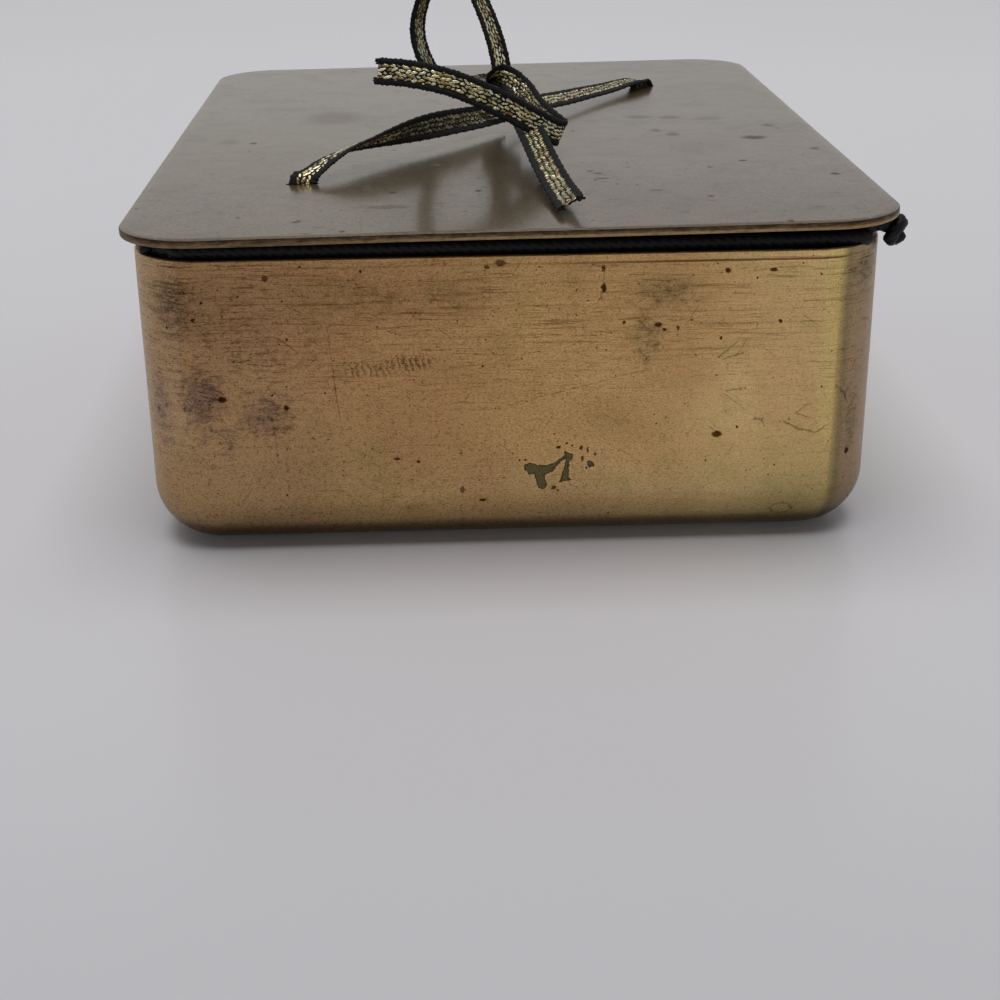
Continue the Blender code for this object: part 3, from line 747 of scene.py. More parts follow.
# Marks on the lid, in mm across and deep from its middle
LID_MARKS = (
    (33.0, -10.7, 1.5, 1.3, 0.8),
    (36.2, -2.8, 0.8, 0.9, 0.5),
    (39.2, -18.8, 0.5, 0.9, 0.6),
    (24.8, -28.1, 0.35, 0.6, 0.6),
    (11.2, -29.7, 0.6, 0.5, 0.7),
    (11.5, -32.5, 0.9, 0.45, 0.7),
    (16.9, -39.5, 0.9, 0.35, 0.6),
    (22.4, -43.2, 0.4, 0.5, 0.8),
    (21.1, -4.2, 0.8, 1.0, 0.5),
    (23.1, -7.2, 0.9, 1.2, 0.5),
    (-22.6, -49.8, 0.5, 0.5, 0.8),
    (-34.2, -4.5, 1.4, 1.6, 0.3),
    (20.0, 5.5, 1.7, 1.3, 0.4),
    (24.3, 4.8, 1.5, 1.2, 0.4),
    (29.3, 3.3, 1.8, 1.2, 0.35),
    (-21.3, 11.0, 4.2, 5.0, 0.35),
    (-13.0, -44.1, 2.6, 0.9, 0.5),
)


def brass_fields():
    """Places and noises that the pan's marks share."""
    n = Nodes("aged_brass_pan")
    place = n.surface()
    along, up, _ = n.parts(place)
    far_round = n.math("ABSOLUTE", along)
    calm = n.range(far_round, 182.0, 160.0)
    return n, SimpleNamespace(
        place=place,
        along=along,
        up=up,
        far_round=far_round,
        # The tone runs back to the middle's along the far sides, so that its two ends meet behind
        folded=n.product(along, n.range(far_round, 60.0, 165.0, 1.0, 0.0)),
        calm=calm,
        bent=n.warped(place, 0.5, 1.4),
        rough_edged=n.warped(place, 2.6, 0.42),
        cloud=n.calmed(n.noise(place, 0.24, 5.0, 0.68, 0.5), calm),
        speck=n.noise(place, 1.5, 5.0, 0.8),
        grain=n.noise(n.stretched(place, (0.8, 1.2, 1)), 4.6, 3.0, 0.85),
    )


def brass_ground(n, f):
    """The metal's own tone: rosy at the left, yellower low down and to the right."""
    broad = n.calmed(n.noise(f.place, 0.05, 2.0, 0.6, 0.4), f.calm)
    low_yellow = n.range(f.up, 22.0, 2.0, 0.0, 0.35)
    yellow = n.math("MULTIPLY_ADD", n.range(f.folded, -20.0, 34.0), 0.5, low_yellow)
    yellow = n.math("ADD", yellow, n.range(broad, 0.3, 0.7, -0.3, 0.4))
    colour = n.mix(yellow, ROSY_BRASS, YELLOW_BRASS)
    patches = n.calmed(n.noise(f.place, 0.30, 3.0, 0.6, 0.6), f.calm)
    # Paler towards the right end, duller towards the left one and along the top
    pale = n.product(n.range(f.folded, 16.0, 26.0), n.range(f.up, 10.0, 19.0, 0.35, 1.0))
    lower_right = n.product(n.range(f.up, 12.0, 4.0), n.range(f.folded, 21.0, 31.0))
    rubbed = n.spots(f.place, ((1.0, 19.5, 18.0, 7.5, 1.0),), 1.2)
    olive = n.product(n.range(f.up, 12.0, 5.0), n.range(f.folded, -12.0, 10.0, 0.3, 1.0))
    ends = n.range(n.math("ABSOLUTE", n.math("SUBTRACT", f.folded, 2.0)), 20.0, 32.0)
    return n.layered(
        colour,
        (n.range(patches, 0.50, 0.66), (0.93, 0.960, 0.91)),
        (n.range(f.cloud, 0.50, 0.28), (0.88, 0.89, 0.88)),
        (pale, (1.17, 1.26, 1.28)),
        (n.range(f.folded, 14.0, -12.0), (0.88, 0.86, 0.87)),
        (n.range(f.folded, -15.0, -27.0), (0.90, 0.90, 0.98)),
        (lower_right, (0.80, 0.78, 0.74)),
        (n.range(f.up, 24.0, 31.0), (0.97, 0.97, 0.94)),
        (rubbed, (1.09, 1.09, 1.05)),
        (olive, (0.94, 1.03, 1.10)),
        (n.product(ends, n.range(f.up, 14.0, 6.0)), (0.90, 0.90, 0.90)),
    )


def brass_corners(n, f, colour):
    """Where the sides bend away: a pale strip at the left that is a painted reflection, and at the right a yellow
    strip of worn brass with a painted highlight, then a dark one of patina and painted shade.
    """
    # Painted reflection: a pale, bluish strip where the left side bends away
    left = n.product(n.range(f.along, -34.2, -35.6), n.range(f.along, -60.0, -46.0))
    left = n.product(left, n.range(f.up, 8.0, 16.0))
    colour = n.tinted(colour, left, (1.05, 1.16, 1.30))
    even = n.range(f.cloud, 0.3, 0.6, 0.55, 1.0)
    # Worn brass where the right corner starts, its brightness partly a painted highlight
    rubbed = n.product(n.range(f.along, 32.3, 34.0), n.range(f.along, 35.1, 34.4), even)
    rubbed = n.product(rubbed, n.range(f.up, 9.0, 15.0, 0.2, 1.0))
    colour = n.mix(n.product(rubbed, 0.62), colour, WORN_HIGHLIGHT_BRASS)
    # Painted shade, over a darker patina, on the strip beyond the worn brass and on the bend, where the side turns
    # away from the light
    shade = n.product(n.range(f.along, 34.5, 35.1), n.range(f.along, 36.9, 35.6), even)
    bend = n.product(n.range(f.along, 34.7, 35.9), n.range(f.along, 48.0, 43.0))
    colour = n.mix(n.product(bend, 0.8), colour, SHADED_BRASS)
    return n.tinted(colour, shade, (0.74, 0.80, 0.70))


def brass_tarnish(n, f, colour):
    """Tarnish: purplish at the left, olive at the right, clouds of it all round, and painted contact shade along the
    foot.
    """
    ragged = n.noise(n.stretched(f.place, (0.7, 1.3, 1), (3, 3, 0)), 0.9, 6.0, 0.78)
    left = n.stained(n.spots(f.bent, LEFT_STAINS, 0.95), ragged)
    right = n.stained(n.spots(f.bent, RIGHT_STAINS, 0.85), ragged)
    far = n.noise(n.stretched(f.place, (1, 1, 1), (40, 11, 0)), 0.06, 4.0, 0.7)
    away = n.product(n.range(f.far_round, 38.0, 46.0), f.calm)
    around = n.stained(n.product(n.range(far, 0.50, 0.64), away), ragged)
    smudged = n.spots(f.bent, SMUDGES, 0.95)
    smudged = n.product(smudged, n.range(ragged, 0.30, 0.60, 0.45, 1.0))
    mottled = n.product(n.spots(f.bent, MOTTLED, 0.95), n.range(ragged, 0.49, 0.60))
    # Inside a stain lie short dark flecks, with the metal showing through between
    flecks = n.noise(n.stretched(f.place, (0.5, 1.6, 1), (7, 2, 0)), 1.4, 5.0, 0.8, 0.3)
    flecks = n.most(n.range(flecks, 0.50, 0.60), n.range(f.speck, 0.50, 0.60))
    purple = n.product(left, n.range(f.up, 25.0, 19.0, 0.2, 1.0), n.range(f.along, -24.0, -27.0))
    stained = n.most(left, right, around)
    ripples = n.math("MULTIPLY_ADD", f.speck, 15.0, n.product(f.up, 13.0))
    ripples = n.math("MULTIPLY_ADD", f.along, 3.0, ripples)
    ripples = n.range(n.math("SINE", ripples), 0.4, 0.95)
    # Close to the foot the metal is darker: painted contact shade
    low = n.product(n.range(f.up, 5.5, 0.5), n.range(f.speck, 0.3, 0.6, 0.7, 1.0))
    colour = n.layered(
        colour,
        (smudged, (0.74, 0.75, 0.73)),
        (mottled, (0.71, 0.69, 0.66)),
        (n.most(left, around), (0.76, 0.75, 0.80)),
        (purple, (0.84, 0.86, 1.12)),
        (right, (0.74, 0.80, 0.80)),
        (n.product(stained, flecks), (0.62, 0.58, 0.52)),
        (n.product(ripples, n.spots(f.bent, RIPPLED, 0.6)), (0.50, 0.46, 0.44)),
        (low, (0.46, 0.49, 0.54)),
    )
    return colour, stained


def brass_brushing(n, f, colour):
    """Fine marks: brushed lines, most of them high up and at the left, and small dark grains."""
    worn_end = n.range(f.folded, 26.0, -32.0, 0.45, 1.0)
    high = n.range(f.up, 15.0, 27.0, 0.25, 1.0)
    brushed = n.product(high, n.range(f.cloud, 0.35, 0.55, 0.45, 1.0), f.calm)
    wavy = n.warped(f.place, 0.12, 0.6)
    streaks = n.noise(n.stretched(wavy, (0.065, 2.6, 1)), 1.0, 5.0, 0.78)
    strokes = n.noise(n.stretched(wavy, (0.30, 4.2, 1), (9, 4, 0)), 1.0, 4.0, 0.72)
    end_high = n.product(n.range(f.up, 13.0, 20.0, 0.15, 1.0), worn_end)
    coarse = n.range(f.folded, 26.0, 4.0, 0.62, 1.0)
    colour = n.layered(
        colour,
        (n.product(n.range(streaks, 0.54, 0.62), brushed), (0.62, 0.56, 0.46)),
        (n.product(n.range(streaks, 0.45, 0.36), brushed), (1.16, 1.17, 1.18)),
        (n.product(n.range(strokes, 0.57, 0.64), end_high), (0.50, 0.43, 0.34)),
        (n.product(n.range(f.grain, 0.48, 0.68), coarse), (0.42, 0.38, 0.32)),
        (n.range(f.grain, 0.46, 0.26), (1.26, 1.27, 1.30)),
        (n.product(n.range(f.speck, 0.54, 0.64), worn_end), (0.60, 0.54, 0.45)),
        (n.range(f.speck, 0.44, 0.30), (1.10, 1.09, 1.08)),
    )
    return colour, streaks, brushed


def brass_scratches(n, f, brushed):
    """Hairlines along the brushing and at two angles across it."""
    return n.most(
        n.product(n.hairlines(f.place, 3, 2.0, 0.62), brushed),
        n.product(n.hairlines(f.place, 38, 5.0, 0.67), 0.7),
        n.product(n.hairlines(f.place, -58, 11.0, 0.68), 0.7),
    )


def brass_cuts(n, f):
    """A row of short ticks, lines scored below the rim, fine cracks and a small ring."""
    phase = n.math("MULTIPLY_ADD", f.up, 2.6, n.product(f.along, 9.6))
    phase = n.math("MULTIPLY_ADD", f.speck, 22.0, phase)
    row = n.spots(f.bent, TICKED, 0.5)
    ticks = n.product(n.range(n.math("SINE", phase), 0.35, 0.95), row)
    score = n.product(n.range(f.up, 31.88, 31.98), n.range(f.up, 32.2, 32.08))
    score = n.product(score, n.range(f.along, -4.0, 20.0, 0.3, 1.0), n.range(f.along, 36.5, 34.5))
    cracks = n.range(n.strokes(f.rough_edged, FINE_CRACKS), 0.05, -0.05)
    cracks = n.product(cracks, n.range(f.speck, 0.36, 0.56, 0.15, 0.62))
    across, high = RING_PLACE
    ring = n.stretched(f.rough_edged, (1, RING_SQUASH, 0), (-across, -high * RING_SQUASH, 0))
    ring = n.math("SUBTRACT", n.vector("LENGTH", ring), RING_RADIUS)
    ring = n.range(n.math("ABSOLUTE", ring), 0.25, 0.05)
    ring = n.product(ring, n.range(f.speck, 0.36, 0.56, 0.25, 0.6))
    return n.most(n.product(ticks, 0.7), n.product(score, 0.8), cracks, ring)


def worn_patch(n, f, colour):
    """The patch that is worn through, with its dark outline and a paler rim round it."""
    patch = n.math("MULTIPLY_ADD", f.speck, 0.52, n.strokes(f.rough_edged, WEAR_PATCH))
    patch = n.math("SUBTRACT", patch, 0.26)
    halo = n.product(n.range(patch, 0.34, 0.12), n.range(patch, 0.0, 0.1))
    colour = n.tinted(colour, halo, (1.10, 1.12, 1.14))
    wear = n.range(patch, 0.04, -0.04)
    tone = n.mix(n.range(patch, -0.04, -0.18), (0.100, 0.072, 0.032), (0.225, 0.176, 0.086))
    tone = n.tinted(tone, n.range(f.grain, 0.36, 0.64), (0.62, 0.62, 0.60))
    return n.mix(wear, colour, tone), wear


def aged_brass():
    """The pan: golden brown, brushed along its sides, tarnished in patches, pitted, scratched."""
    n, f = brass_fields()
    colour = brass_corners(n, f, brass_ground(n, f))
    colour, stained = brass_tarnish(n, f, colour)
    colour, streaks, brushed = brass_brushing(n, f, colour)
    scratched = brass_scratches(n, f, brushed)
    cut = brass_cuts(n, f)
    pits = n.most(
        n.pits(f.rough_edged, 2.1, 0.20, 0.45, 5.0),
        n.pits(f.rough_edged, 0.95, 0.12, 0.42, 17.0),
        n.pits(f.rough_edged, 0.5, 0.085, 0.42, 29.0),
    )
    holes = n.most(pits, n.spots(f.rough_edged, DARK_SPOTS, 0.3))
    colour = n.layered(
        colour,
        (scratched, (0.60, 0.53, 0.42)),
        (cut, (0.36, 0.29, 0.20)),
        (holes, (0.20, 0.13, 0.07)),
    )
    colour, wear = worn_patch(n, f, colour)
    dirt = n.most(n.product(stained, 0.45), holes, wear, cut)
    roughness = n.range(dirt, 0.0, 1.0, 0.36, 0.62)
    roughness = n.math("ADD", roughness, n.math("MULTIPLY_ADD", f.speck, 0.2, -0.1))
    normal = n.bump(streaks, 0.008, 0.7)
    dents = n.product(n.most(holes, cut, scratched, wear), -1.0)
    normal = n.bump(dents, 0.05, 0.8, normal)
    return n.finish(Base_Color=colour, Metallic=1.0, Roughness=roughness, Normal=normal)


def lid_tone(n, place, grain):
    """The lid's patina: olive grey at the back left, rosier to the right and along the front."""
    across, deep, _ = n.parts(place)
    broad = n.noise(place, 0.028, 4.0, 0.6, 0.5)
    cloud = n.noise(place, 0.15, 6.0, 0.65, 0.8)
    speck = n.noise(place, 1.1, 5.0, 0.75)
    rosy = n.range(across, -35.0, 40.0, 0.0, 0.5)
    rosy = n.math("ADD", rosy, n.range(deep, 40.0, -50.0, 0.0, 0.35))
    rosy = n.math("ADD", rosy, n.range(broad, 0.3, 0.7, -0.3, 0.35))
    colour = n.mix(rosy, OLIVE_PATINA, ROSY_PATINA)
    colour = n.darker(colour, n.range(cloud, 0.48, 0.72), 0.28)
    colour = n.mix(n.range(cloud, 0.42, 0.25, 0.0, 0.25), colour, PALE_PATINA)
    colour = n.darker(colour, n.range(speck, 0.5, 0.7), 0.26)
    colour = n.darker(colour, n.range(grain, 0.48, 0.66), 0.30)
    # Browner and darker towards the back right: painted shade that dims the reflected light there. Grainier where the
    # hand wears it, along the front
    back_right_shade = n.product(n.range(across, -5.0, 24.0), n.range(deep, -8.0, 22.0))
    gritty = n.product(n.range(grain, 0.50, 0.62), n.range(deep, -10.0, -38.0))
    colour = n.layered(
        colour,
        (back_right_shade, (0.86, 0.81, 0.75)),
        (gritty, (0.70, 0.67, 0.63)),
    )
    return colour, cloud


def lid_marks(n, place, cloud):
    """Dark spots and pits, and short dashes across that are thicker towards the front edge."""
    deep = n.parts(place)[1]
    bent = n.warped(place, 0.6, 1.5)
    marks = n.spots(bent, LID_MARKS, 0.5)
    small = n.most(n.pits(bent, 4.6, 0.6, 0.3, 3.0), n.pits(bent, 2.2, 0.28, 0.3, 9.0))
    dashes = n.noise(n.stretched(place, (0.55, 1.0, 1)), 1.1, 6.0, 0.85)
    dashes = n.range(dashes, 0.58, 0.68)
    nearer = n.range(deep, 10.0, -40.0, 0.25, 1.0)
    dashes = n.product(dashes, nearer, n.range(cloud, 0.35, 0.6, 0.4, 1.0))
    return n.most(marks, n.product(small, 0.85), n.product(dashes, 0.9))


def lid_brass():
    """The lid's faces: a smooth taupe patina over brass, with a few dark marks."""
    n = Nodes("lid_patina")
    place = n.object_mm()
    grain = n.noise(place, 3.0, 3.0, 0.85)
    fine = n.noise(n.stretched(place, (2.4, 0.25, 1)), 1.4, 4.0, 0.7)
    colour, cloud = lid_tone(n, place, grain)
    dark = lid_marks(n, place, cloud)
    colour = n.mix(n.product(dark, 0.75), colour, DARK_MARK)
    roughness = n.math("MULTIPLY_ADD", cloud, 0.14, 0.25)
    roughness = n.math("MULTIPLY_ADD", dark, 0.15, roughness)
    normal = n.bump(fine, 0.003, 0.5)
    normal = n.bump(cloud, 0.02, 0.35, normal)
    normal = n.bump(n.product(dark, -1.0), 0.02, 0.5, normal)
    return n.finish(
        Base_Color=colour,
        Metallic=0.8,
        Roughness=roughness,
        Specular_Tint=(0.46, 0.43, 0.38, 1.0),
        Normal=normal,
        Coat_Weight=n.range(dark, 0.0, 1.0, 0.60, 0.15),
        Coat_Roughness=0.15,
        Coat_IOR=1.5,
        Coat_Normal=normal,
    )


def lid_edge_brass():
    """The lid's cut edge: dark brown, with brighter metal along its lower corner."""
    n = Nodes("lid_edge")
    place = n.surface()
    along, up, _ = n.parts(place)
    blotch = n.noise(n.stretched(place, (0.45, 2.0, 1)), 1.0, 6.0, 0.78)
    fine = n.noise(n.stretched(place, (2.0, 4.0, 1)), 1.0, 3.0, 0.7)
    colour = n.mix(n.range(blotch, 0.38, 0.66), (0.060, 0.036, 0.022), (0.235, 0.150, 0.078))
    colour = n.darker(colour, n.range(up, 0.35, 0.72), 0.55)
    # More of the metal shows on the right part of the front
    worn = n.product(n.range(up, 0.40, 0.16), n.range(blotch, 0.28, 0.55, 0.35, 1.0))
    worn = n.product(worn, n.range(along, -26.0, 6.0, 0.3, 1.0))
    colour = n.mix(n.product(worn, 0.85), colour, (0.50, 0.345, 0.155))
    colour = n.darker(colour, n.range(fine, 0.45, 0.75), 0.4)
    normal = n.bump(blotch, 0.03, 0.8)
    return n.finish(Base_Color=colour, Metallic=0.75, Roughness=0.5, Normal=normal)


def velvet():
    """Short black pile, uneven where it has been brushed."""
    n = Nodes("black_pile")
    place = n.object_mm()
    pile = n.noise(place, 7.0, 2.0, 0.8)
    nap = n.noise(place, 0.22, 3.0, 0.6, 0.7)
    colour = n.mix(n.range(pile, 0.3, 0.75), (0.002, 0.002, 0.003), (0.012, 0.012, 0.014))
    colour = n.mix(n.range(nap, 0.45, 0.7, 0.0, 0.5), colour, (0.020, 0.020, 0.024))
    return n.finish(
        Base_Color=colour,
        Roughness=0.95,
        Normal=n.bump(pile, 0.12, 0.9),
        Sheen_Weight=0.22,
        Sheen_Roughness=0.4,
        Specular_IOR_Level=0.2,
    )


def black_thread():
    """The edge cord's twisted yarn."""
    n = Nodes("black_thread")
    place = n.object_mm()
    fibre = n.noise(n.stretched(place, (2.5, 2.5, 8.0)), 1.6, 4.0, 0.75)
    colour = n.mix(n.range(fibre, 0.3, 0.75), (0.0020, 0.0020, 0.0026), (0.0085, 0.0085, 0.0110))
    return n.finish(
        Base_Color=colour,
        Roughness=0.5,
        Normal=n.bump(fibre, 0.03, 0.6),
        Specular_IOR_Level=0.26,
    )


def woven_ribbon():
    """Black yarn with flat gold tape stitched through its middle."""
    n = Nodes("black_gold_weave")
    stitch = n.add("ShaderNodeAttribute", attribute_name="stitch").outputs["Fac"]
    tint = n.add("ShaderNodeAttribute", attribute_name="tint").outputs["Fac"]
    glow = n.add("ShaderNodeAttribute", attribute_name="glow").outputs["Fac"]
    place = n.object_mm()
    fibre = n.noise(place, 7.0, 3.0, 0.75)
    tone_and_glint_patches = n.noise(place, 0.35, 3.0, 0.6)
    yarn = n.mix(n.range(fibre, 0.42, 0.7), (0.0015, 0.0015, 0.002), (0.013, 0.012, 0.015))
    # Each stitch has its own tone. The palest stitches, near white, and the greenish patches are painted glints.
    gold = n.mix(n.range(tint, 0.05, 0.55), (0.30, 0.20, 0.075), (0.84, 0.70, 0.40))
    gold = n.mix(n.range(tint, 0.55, 0.85), gold, (1.0, 1.0, 0.74))
    gold = n.mix(n.range(tone_and_glint_patches, 0.42, 0.62, 0.0, 0.45), gold, (0.66, 0.68, 0.36))
    gold = n.darker(gold, n.range(fibre, 0.45, 0.8), 0.35)
    # Painted shade: the gold is darkened along the stretches that lie in shade and are turned from the light
    gold = n.darker(gold, n.range(glow, 1.0, 0.0), 0.80)
    shown = n.range(stitch, 0.28, 0.50)
    colour = n.mix(shown, yarn, gold)
    return n.finish(
        Base_Color=colour,
        Metallic=n.product(shown, 0.78),
        Roughness=n.range(shown, 0.0, 1.0, 0.75, 0.24),
        Normal=n.bump(fibre, 0.05, 0.8),
        Specular_IOR_Level=0.35,
    )


def yarn_end():
    """Loose ends of the ribbon's yarn."""
    n = Nodes("loose_yarn")
    fibre = n.noise(n.object_mm(), 6.0, 2.0)
    colour = n.mix(fibre, (0.004, 0.004, 0.005), (0.022, 0.021, 0.022))
    return n.finish(Base_Color=colour, Roughness=0.8)


def table_top():
    """Pale, smooth and slightly uneven in tone, with painted shade towards the viewer."""
    n = Nodes("pale_table")
    tone = n.noise(n.object_mm(), 0.004, 1.0, 0.5)
    colour = n.mix(n.range(tone, 0.3, 0.7), (0.760, 0.754, 0.798), (0.785, 0.779, 0.823))
    # Painted shade: a little darker towards the viewer
    colour = n.tinted(colour, n.range(n.parts(n.object_mm())[1], -78.0, -135.0), (0.89, 0.89, 0.89))
    return n.finish(Base_Color=colour, Roughness=0.26, Specular_IOR_Level=0.45)


# The pan and its lining


def uneven(place, amount, size):
    """A smooth, small shift of a point, as of hand-worked sheet metal."""
    return amount * noise.noise(place / size)


def make_pan():
    """The open metal pan, rolled round its foot, its sides a little out of flat."""
    outline, radius = pan_outline(0, 16, 2.6 * MM)
    lip = 0.22 * MM
    inner_roll = BODY_ROLL_RADIUS - BODY_WALL
    points = arc(BODY_ROLL_RADIUS, BODY_ROLL_RADIUS, BODY_ROLL_RADIUS, 270, 180, 14)
    points += line((0, BODY_ROLL_RADIUS + 1.5 * MM), (0, BODY_HEIGHT - lip), 2.4 * MM)
    points += arc(lip, BODY_HEIGHT - lip, lip, 180, 90, 4)
    points += arc(BODY_WALL - lip, BODY_HEIGHT - lip, lip, 90, 0, 4)
    points += line((BODY_WALL, BODY_HEIGHT - 2 * MM), (BODY_WALL, BODY_ROLL_RADIUS), 4 * MM)
    points += arc(BODY_ROLL_RADIUS, BODY_ROLL_RADIUS, inner_roll, 180, 270, 8)
    # The distance up the surface equals the height on the outer wall
    profile = measured(points, BODY_ROLL_RADIUS * (1 - math.pi / 2))

    def bend(point):
        rise = min(1.0, max(0.0, (point.z - 1 * MM) / (8 * MM)))
        shift = uneven(point, 0.09 * MM, 14 * MM) * rise
        out = Vector((point.x / BODY_WIDTH, point.y / BODY_DEPTH, 0)).normalized()
        return point - out * abs(shift)

    pan = loft("brass_pan", outline, radius, profile, [aged_brass()], bend=bend)
    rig.ride(pan, "box")
    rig.replaces(pan, "box_body")
    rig.slot(pan, "aged_brass")
    return pan


def make_lining(pile):
    """The covered strip, its cover turned over a rounded top edge, and its joint at the back."""
    outline, radius = pan_outline(LINING_INSET, 12, 3 * MM)
    half = LINING_THICKNESS / 2
    low, high = LINING_LOW.z, LINING_HIGH.z
    points = line((0, low + half), (0, high - half), 4 * MM)
    points += arc(half, high - half, half, 180, 0, 10)
    points += line((LINING_THICKNESS, high - 2 * half), (LINING_THICKNESS, low + half), 4 * MM)
    points += arc(half, low + half, half, 360, 180, 8)
    lining = loft("velvet_wall_lining", outline, radius, measured(points), [pile], caps=False)
    weld_and_part(lining, high)
    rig.ride(lining, "box")
    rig.replaces(lining, "wall_lining")
    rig.slot(lining, "black_velvet")
    return lining


def weld_and_part(lining, height):
    """Close the profile's ring, and cut the narrow joint at the middle of the back."""
    bm = opened(lining)
    bmesh.ops.remove_doubles(bm, verts=bm.verts, dist=0.01 * MM)
    bmesh.ops.recalc_face_normals(bm, faces=bm.faces)
    closed(bm, lining.data)
    joint = bmesh.new()
    bmesh.ops.create_cube(joint, size=1.0)
    bmesh.ops.scale(joint, verts=joint.verts, vec=(0.4 * MM, 8 * MM, 4 * height))
    bmesh.ops.translate(joint, verts=joint.verts, vec=(0, BODY_DEPTH / 2, 0))
    mesh = closed(joint, bpy.data.meshes.new("lining_joint"))
    subtract(lining, linked("lining_joint", mesh))


def divide_top(bm, parts):
    """The flat top is divided into parts each way, so that it can swell."""
    pieces = {max(bm.faces, key=lambda face: face.calc_center_median().z)}
    cuts = []
    for number in range(1, parts):
        part = number / parts
        cuts.append(((BODY_WIDTH * (part - 0.5), 0, 0), (1, 0, 0)))
        cuts.append(((0, BODY_DEPTH * (part - 0.5), 0), (0, 1, 0)))
    for place, across in cuts:
        geometry = set(pieces)
        for face in pieces:
            geometry.update(face.edges)
            geometry.update(face.verts)
        cut = bmesh.ops.bisect_plane(
            bm, geom=list(geometry), dist=CUT_DISTANCE, plane_co=place, plane_no=across
        )
        pieces.update(item for item in cut["geom"] if isinstance(item, bmesh.types.BMFace))


def crown(bm, high):
    """The pad's top swells towards its middle, and is slightly uneven."""
    reach = 18 * MM
    for vertex in bm.verts:
        if vertex.co.z > high - 0.01 * MM:
            across = min(1.0, (BODY_WIDTH / 2 - abs(vertex.co.x)) / reach)
            down = min(1.0, (BODY_DEPTH / 2 - abs(vertex.co.y)) / reach)
            swell = math.sin(across * math.pi / 2) * math.sin(down * math.pi / 2)
            vertex.co.z += 0.7 * MM * swell + uneven(vertex.co, 0.12 * MM, 12 * MM)


def make_base_pad(pile):
    """A padded board in the foot of the pan, soft at its top edge and slightly crowned."""
    outline, radius = pan_outline(LINING_INSET, 10, 4 * MM)
    roll = BODY_ROLL_RADIUS - LINING_INSET
    low, high = PAD_LOW.z, PAD_HIGH.z
    edge = 1.1 * MM
    points = arc(roll, low + roll, roll, 270, 190, 8)[:-1]
    points += arc(edge + 0.05 * MM, high - edge, edge, 180, 90, 6)
    points += line((edge + 1 * MM, high), (radius - 0.6 * MM, high), 1.4 * MM)
    pad = loft("padded_base", outline, radius, measured(points), [pile])
    bm = opened(pad)
    divide_top(bm, 14)
    crown(bm, high)
    closed(bm, pad.data).shade_smooth()
    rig.ride(pad, "box")
    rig.replaces(pad, "base_pad")
    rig.slot(pad, "black_velvet")
    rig.padded(pad, fill=0.5)
    return pad


# Smooth lines through stations


def catmull_rom(before, start, end, after, t):
    return 0.5 * (
        2 * start
        + (end - before) * t
        + (2 * before - 5 * start + 4 * end - after) * t * t
        + (3 * start - before - 3 * end + after) * t * t * t
    )


def smooth_route(points, step):
    """Points about step apart on a smooth curve through the given ones."""
    padded = [2 * points[0] - points[1], *points, 2 * points[-1] - points[-2]]
    route = []
    for index in range(1, len(padded) - 2):
        start = padded[index]
        end = padded[index + 1]
        count = max(1, round((end - start).length / step))
        for part in range(count):
            around = (padded[index - 1], start, end, padded[index + 2])
            route.append(catmull_rom(*around, part / count))
    route.append(points[-1])
    return route


def evenly(points, step, *others):
    """Points resampled at an even step, and other rows that belong to them."""
    points = np.array(points, float)
    travelled = np.concatenate([[0], np.cumsum(np.linalg.norm(np.diff(points, axis=0), axis=1))])
    count = max(2, round(travelled[-1] / step) + 1)
    at = np.linspace(0, travelled[-1], count)
    resampled = []
    for rows in (points, *others):
        columns = np.array(rows, float).T
        resampled.append(np.array([np.interp(at, travelled, column) for column in columns]).T)
    return at, resampled


def unit(rows):
    return rows / np.maximum(np.linalg.norm(rows, axis=1, keepdims=True), 1e-12)


def carried_frames(points):
    """Tangents, and two directions square to them that turn as little as they can."""
    tangents = unit(np.gradient(points, axis=0))
    side = np.cross(tangents[0], (0, 0, 1.0))
    if np.linalg.norm(side) < 0.1:
        side = np.cross(tangents[0], (1.0, 0, 0))
    side /= np.linalg.norm(side)
    sides = []
    for tangent in tangents:
        side = side - tangent * side.dot(tangent)
        side /= np.linalg.norm(side)
        sides.append(side.copy())
    sides = np.array(sides)
    return tangents, sides, np.cross(tangents, sides)


def tube_grid(centres, sides, ups, radii, around):
    """Vertices and faces of a tube with closed ends."""
    angles = np.linspace(0, 2 * math.pi, around, endpoint=False)
    ring = (
        sides[:, None, :] * np.cos(angles)[None, :, None]
        + ups[:, None, :] * np.sin(angles)[None, :, None]
    )
    vertices = (centres[:, None, :] + ring * radii[:, None, None]).reshape(-1, 3)
    return vertices, ring_faces(len(centres), around)


def joined(parts):
    """Several grids of vertices and faces as one."""
    vertices, faces = [], []
    for part_vertices, part_faces in parts:
        base = sum(len(v) for v in vertices)
        vertices.append(part_vertices)
        faces += [tuple(i + base for i in face) for face in part_faces]
    return np.concatenate(vertices), faces


# The edge cord and its knot


